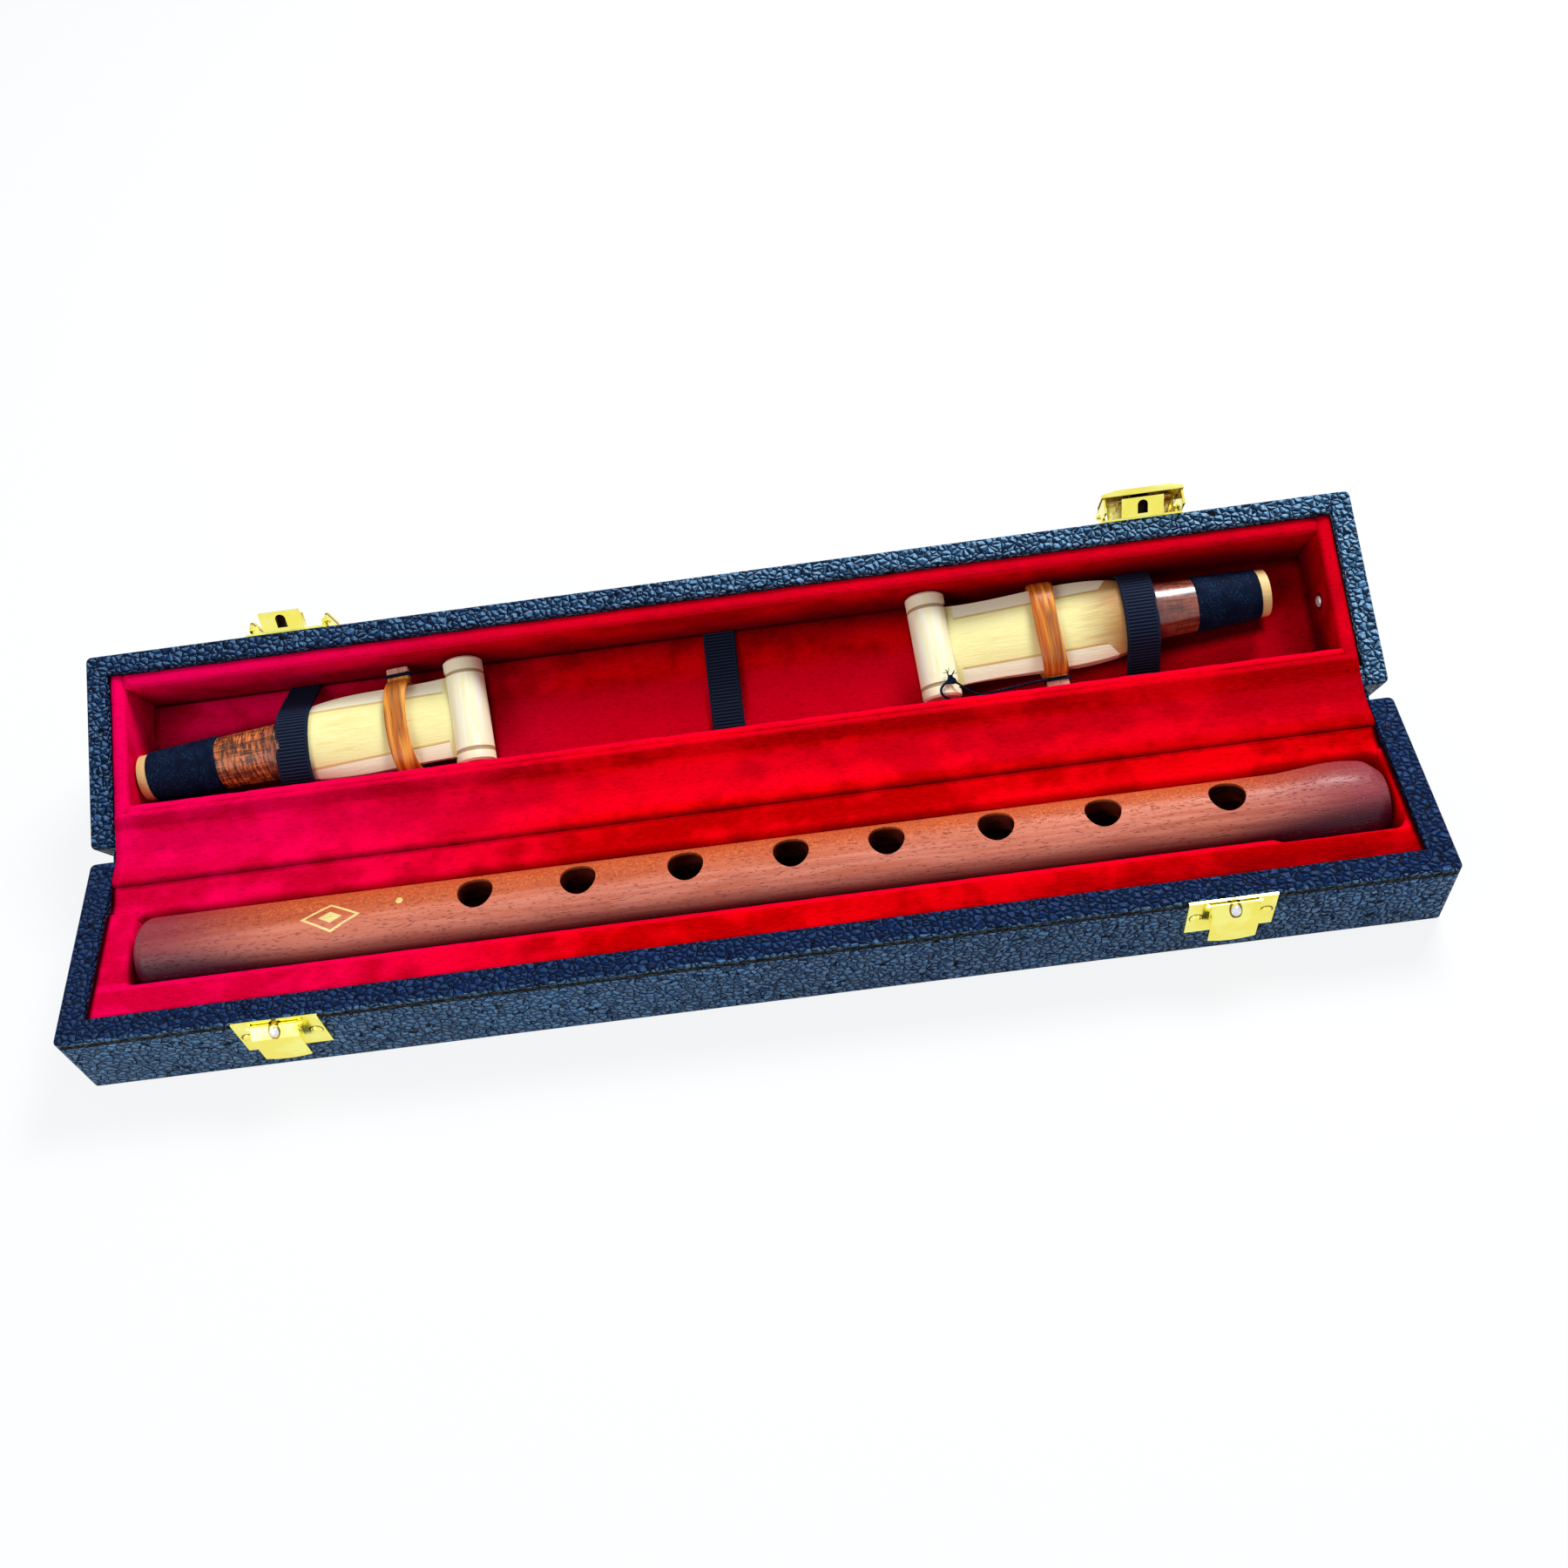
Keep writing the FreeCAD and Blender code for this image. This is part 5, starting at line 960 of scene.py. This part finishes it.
def velvetBlock():
    b = block
    top, bottom, halfY, lip, foot = b["top"], b["bottom"], b["halfY"], b["lip"], b["foot"]
    left, right, curve = b["channelLeft"], b["channelRight"], b["planRound"]
    x = np.concatenate([
        np.linspace(-b["halfX"], left - 0.2, 8), np.linspace(left, left + 4.0, 14),
        np.linspace(-157.0, 133.0, 180), np.linspace(134.0, 142.0, 14), np.linspace(143.0, 163.0, 14),
        np.linspace(right - 4.0, right, 14), np.linspace(right + 0.3, b["halfX"], 3),
    ])
    inside = np.minimum(x - left, right - x)
    opened = smooth(inside / 1.2)
    bulb = smooth((x - b["bulbStart"] + b["bulbRamp"]) / b["bulbRamp"])
    half = b["halfWidth"] + (b["bulbHalfWidth"] - b["halfWidth"]) * bulb
    low = b["channelBottom"] + (b["bulbBottom"] - b["channelBottom"]) * bulb
    corner = np.clip(curve - inside, 0, curve)
    half = half - (curve - np.sqrt(curve ** 2 - corner ** 2)) * (inside > 0)
    # share of the way down and how far out from the channel's wall, along half a section
    angle = np.linspace(0, math.pi / 2, 7)
    bend, rest = 1 - np.cos(angle), 1 - np.sin(angle)
    lipOut, lipDown, footIn, footUp = lip * rest, lip * bend, foot * bend, foot * rest
    rows = []
    for i in range(len(x)):
        full = top - low[i]
        deep = full * opened[i]
        down = np.concatenate([lipDown, np.linspace(lip, full - foot, 8)[1:-1], full - footUp]) / full
        yWall = half[i] + np.concatenate([lipOut, np.zeros(6), -footIn])
        front = np.linspace(-halfY, -yWall[0], 8)[:-1]
        rear = np.linspace(yWall[0], halfY, 10)[1:]
        floor = np.linspace(-yWall[-1], yWall[-1], 6)[1:-1]
        sink = top - b["rearLip"]
        y = np.concatenate([front, -yWall, floor, yWall[::-1], rear])
        z = np.concatenate([
            top + 0.25 * np.sin(np.linspace(0, math.pi, 8))[:-1],
            top - deep * down,
            np.full(4, top - deep),
            (top - deep * down)[::-1] - sink * (1 - down[::-1]),
            top - sink * (1 - smooth((rear - yWall[0]) / (b["crease"] - yWall[0]))),
        ])
        z[-2:] = top - 0.2
        z = z + ripple(x[i], y, 0.09, 9.0) * (z > top - 3)
        skirtY = np.array([halfY, halfY, 0.0, -halfY, -halfY])
        skirtZ = np.array([12.0, bottom, bottom, bottom, 12.0])
        rows.append(inBase(x[i], np.concatenate([y, skirtY]), np.concatenate([z, skirtZ])))
    thing = tube("channelVelvet", np.stack(rows), velvets["channel"])
    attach(thing, "case_base")
    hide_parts("channel_insert")


velvetBlock()


# Hinge strips: velvet inside, leather outside

hinge = {"baseBack": 27.5, "baseRim": 22.3, "thick": 0.8, "halfVelvet": 169.5, "halfLeather": 170.9}


def lidSection(u, w):
    return inLid(0.0, u, w)[..., 1:]


def sheetLoop(line, thick):
    # a line of points in a section, given a thickness: its two faces joined end to end
    side = sideways(line) * thick / 2
    return np.concatenate([line + side, (line - side)[::-1]])


def strip(name, node, line, half, look, step):
    # the strip's section is carried along X, with soft waves in its face
    loop = sheetLoop(line, hinge["thick"])
    x = np.linspace(-half, half, int(2 * half / step) + 1)
    lift = ripple(x[:, None], np.arange(len(loop))[None] * 1.0, 0.07, 14.0)
    thing = tube(name, inBase(x[:, None], loop[None, :, 0], loop[None, :, 1] + lift), look)
    start, end = (0, hinge["baseBack"] * mm, hinge["baseRim"] * mm), tuple(inLid(0.0, 0.0, -1.0) * mm)
    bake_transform(thing)
    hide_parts(node)


velvetLine = along(softened([
    (19.6, 21.9), (20.5, 22.65), (22.5, 22.75), (26.5, 22.72), (28.4, 22.75), lidSection(0.9, -0.62),
    lidSection(3.0, -0.58), lidSection(6.0, -0.3), lidSection(8.1, -0.15), lidSection(8.9, -0.5),
]), 0.5)
strip("hingeVelvet", "hinge_velvet", velvetLine, hinge["halfVelvet"], velvets["strip"], 2.0)
leatherLine = along(softened([
    (27.9, 12.4), (27.9, 18.0), (27.95, 21.4),
    lidSection(-0.45, -2.4), lidSection(-0.4, -6.0), lidSection(-0.4, -10.9),
]), 0.6)
strip("hingeLeather", "hinge_leather", leatherLine, hinge["halfLeather"], leatherLook, 3.0)
print("hinge strips")


# Velvet boards and pad in the lid

lidRoom = {
    "halfX": 166.6, "outerX": 170.9, "near": 11.4, "far": 45.1, "outerNear": 5.6, "outerFar": 49.4,
    "bottom": -23.3, "pad": -21.0, "top": -1.6, "nearTop": -0.75, "round": 1.3,
}


def board(name, node, across, low, high, u0, u1, top):
    # a section flat below with two rounded upper edges, carried along u if across and along X if not
    radius, bottom = lidRoom["round"], lidRoom["bottom"]
    angle = np.linspace(0, math.pi / 2, 7)
    rise = np.linspace(bottom, top - radius, 14)
    crown = np.linspace(u1 - radius, u0 + radius, 6)[1:-1]
    u = np.concatenate([
        np.full(14, u1), u1 - radius + radius * np.cos(angle[1:]), crown,
        u0 + radius - radius * np.sin(angle[:-1]), np.full(14, u0),
    ])
    w = np.concatenate([
        rise, top - radius + radius * np.sin(angle[1:]), np.full(4, top) + 0.12,
        top - radius + radius * np.cos(angle[:-1]), rise[::-1],
    ])
    s = np.linspace(low, high, max(8, int((high - low) / 2.0)))[:, None]
    puff = ripple(s + 0 * u[None], w[None] * 1.0, 0.14, 8.0, len(name) * 1.3)
    u = u[None] + puff * np.sign(u[None] - (u0 + u1) / 2)
    w = w[None] + puff * 0.5 * (w[None] > top - 3)
    thing = tube(name, inLid(u, s, w) if across else inLid(s, u, w), velvets[name])
    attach(thing, "lid")
    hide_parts(node)


r = lidRoom
half, outer, near, far = r["halfX"], r["outerX"], r["outerNear"], r["outerFar"]
board("farBoard", "lid_lining_front", False, -half, half, r["far"], far, r["top"])
board("nearBoard", "lid_lining_rear", False, -half, half, near, r["near"], r["nearTop"])
board("leftBoard", "lid_lining_left", True, near, far, -outer, -half, r["top"])
board("rightBoard", "lid_lining_right", True, near, far, half, outer, r["top"])


def floorPad():
    # the pad dips by 0.5 where it meets the boards: dip = -0.5 exp(-edge / 0.9)
    x = np.linspace(-r["halfX"], r["halfX"], 150)
    u = np.linspace(r["near"], r["far"], 34)
    edge = np.minimum(u - r["near"], r["far"] - u)
    top = r["pad"] - 0.1 - 0.5 * np.exp(-edge / 0.9) + ripple(x[:, None], u[None], 0.1, 11.0, 2.2)
    u = np.concatenate([u, [r["far"], r["near"]]])
    w = np.concatenate([top, np.full((len(x), 2), r["bottom"])], 1)
    thing = tube("padVelvet", inLid(x[:, None], u[None], w), velvets["pad"])
    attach(thing, "lid")
    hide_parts("lid_floor_pad")


floorPad()
print("velvet")


# Elastic straps

strapSpots = {
    "left": {"x": -121.6, "u": 24.63, "wide": 10.86, "tall": 6.55},
    "right": {"x": 116.24, "u": 31.38, "wide": 10.98, "tall": 6.75},
}


strapEnds = (r["near"] + 0.5, r["far"] - 0.5)


def ribbon(name, node, line, x):
    # upper face = half + 0.05 cos(2 pi s / rib) between the selvedges, which stand 0.08 proud, less 0.06
    s = strapSizes
    rows = along(line, s["rib"] / 6)
    across = np.linspace(-1, 1, 31) * s["width"] / 2
    length = np.arange(len(rows)) * s["rib"] / 6
    plain = smooth((np.abs(across) - s["plain"]) / 0.15)[None]
    ribs = 0.05 * np.cos(turn * length / s["rib"])[:, None] * (1 - plain)
    edge = (np.abs(across)[None] / (s["width"] / 2)) ** 24
    half = s["thick"] / 2 * (1 - 0.5 * edge)
    upper = half + ribs + 0.08 * plain * (1 - edge) - 0.06
    offset = np.concatenate([upper, -half[:, ::-1] + 0 * ribs], 1)
    across, length = together(np.concatenate([across, across[::-1]]), length[:, None] + 0 * offset)
    uw = rows[:, None] + sideways(rows)[:, None] * offset[..., None]
    grid = inLid(x + across, uw[..., 0], uw[..., 1])
    thing = tube(name, grid, elasticLook, np.stack([across, length], -1))
    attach(thing, "lid")
    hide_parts(node)


def overReed(side):
    # straight runs from the floor, tangent to an ellipse round the reed
    s, p = strapSizes, strapSpots[side]
    a, b = p["wide"] + s["thick"] / 2, p["tall"] + s["thick"] / 2
    low, high = ((u, s["floor"] + 0.2) for u in strapEnds)
    ends = []
    for foot, sign in ((low, 1), (high, -1)):
        du, dw = (foot[0] - p["u"]) / a, (foot[1] - s["axis"]) / b
        ends.append(math.atan2(dw, du) - sign * math.acos(min(1.0, 1 / math.hypot(du, dw))))
    last, first = ends
    t = np.linspace(last + turn * (last < first), first, 40)
    arc = np.stack([p["u"] + a * np.cos(t), s["axis"] + b * np.sin(t)], 1)
    return np.concatenate([[low], arc, [high]])


for side in reeds:
    ribbon(side + "Strap", "reed_strap_" + side, overReed(side), strapSpots[side]["x"])
share = np.linspace(0, 1, 40)
w = strapSizes["floor"] + 0.5 + 1.4 * np.sin(share * math.pi)
flatLine = np.stack([np.linspace(*strapEnds, 40), w], 1)
ribbon("middleStrap", "reed_strap_middle", flatLine, -0.81)
print("straps")


# The sheet behind each hasp's slot, which carries painted shade


def haspKeeper(side, middle):
    # a bent strip of metal: its section, out from the lid's face and up from its rim, carried along X
    loop = sheetLoop(along(softened(keeper["line"]), 0.25), keeper["thick"])
    x = middle + np.linspace(-keeper["half"][side], keeper["half"][side], 12)
    grid = inLid(x[:, None], keeper["face"] + loop[None, :, 0], loop[None, :, 1])
    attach(tube(side + "Keeper", grid, shadedBrassLook), "lid")


shadedBrassLook = shadedBrass()
haspKeeper("left", -keeper["x"])
haspKeeper("right", keeper["x"])
print("keepers")


# Stage and light

floorLook = Look("floorPaint", (0.93, 0.945, 0.97), 0.9)
wide, below = 6.0, -0.0002
corners = [(x * wide, y * wide, below) for x, y in ((-1, -1), (1, -1), (1, 1), (-1, 1))]
backdrop = bpy.data.meshes.new("floor")
backdrop.from_pydata(corners, [], [(0, 1, 2, 3)])
backdrop.materials.append(floorLook.material)
linked("floor", backdrop)


room = {"colour": (0.95, 0.97, 1.0, 1), "light": 0.3, "seen": 0.95, "floorSeen": 0.86}


def seenDirectly(graph):
    # one for the camera's rays and for those that metal and glass send on
    camera, metal, glass = (
        graph.node("LightPath", out="Is %s Ray" % kind) for kind in ("Camera", "Glossy", "Transmission")
    )
    return camera.most(metal).most(glass)


def whiten(look):
    # the floor is seen mostly as plain white, with a little of the real shade
    glow = look.node("Emission", {"Color": (0.985, 0.992, 1.0, 1)})
    paint = Term(look, look.shader.outputs[0])
    blend = look.node("MixShader", {0: seenDirectly(look) * room["floorSeen"], 1: paint, 2: glow})
    look.feed(look.tree.nodes["Material Output"].inputs[0], blend)


whiten(floorLook)
scene.world = world = bpy.data.worlds.new("room")
world.use_nodes = True
sky = Graph(world.node_tree)
shade = sky.tree.nodes["Background"]
sky.feed(shade.inputs["Color"], room["colour"])
plugs = {"Value": seenDirectly(sky), "To Min": room["light"], "To Max": room["seen"]}
sky.feed(shade.inputs["Strength"], sky.node("MapRange", plugs))

lamps = {
    "key": {"place": (0.36, 0.5, 0.74), "size": (0.42, 0.3), "power": 9.0, "aim": (0.0, 0.02, 0.0)},
    "fill": {"place": (-0.6, -0.55, 0.6), "size": (0.6, 0.5), "power": 3.4, "aim": (0.0, 0.0, 0.02)},
}
for name, lamp in lamps.items():
    light = bpy.data.lights.new(name, "AREA")
    light.shape = "RECTANGLE"
    light.size, light.size_y = lamp["size"]
    light.energy = lamp["power"]
    back = unit(np.array(lamp["place"]) - np.array(lamp["aim"]))
    right = unit(np.cross((0.0, 0.0, 1.0), back))
    stand(linked(name, light), [right, np.cross(back, right), back], lamp["place"])
print("stage")
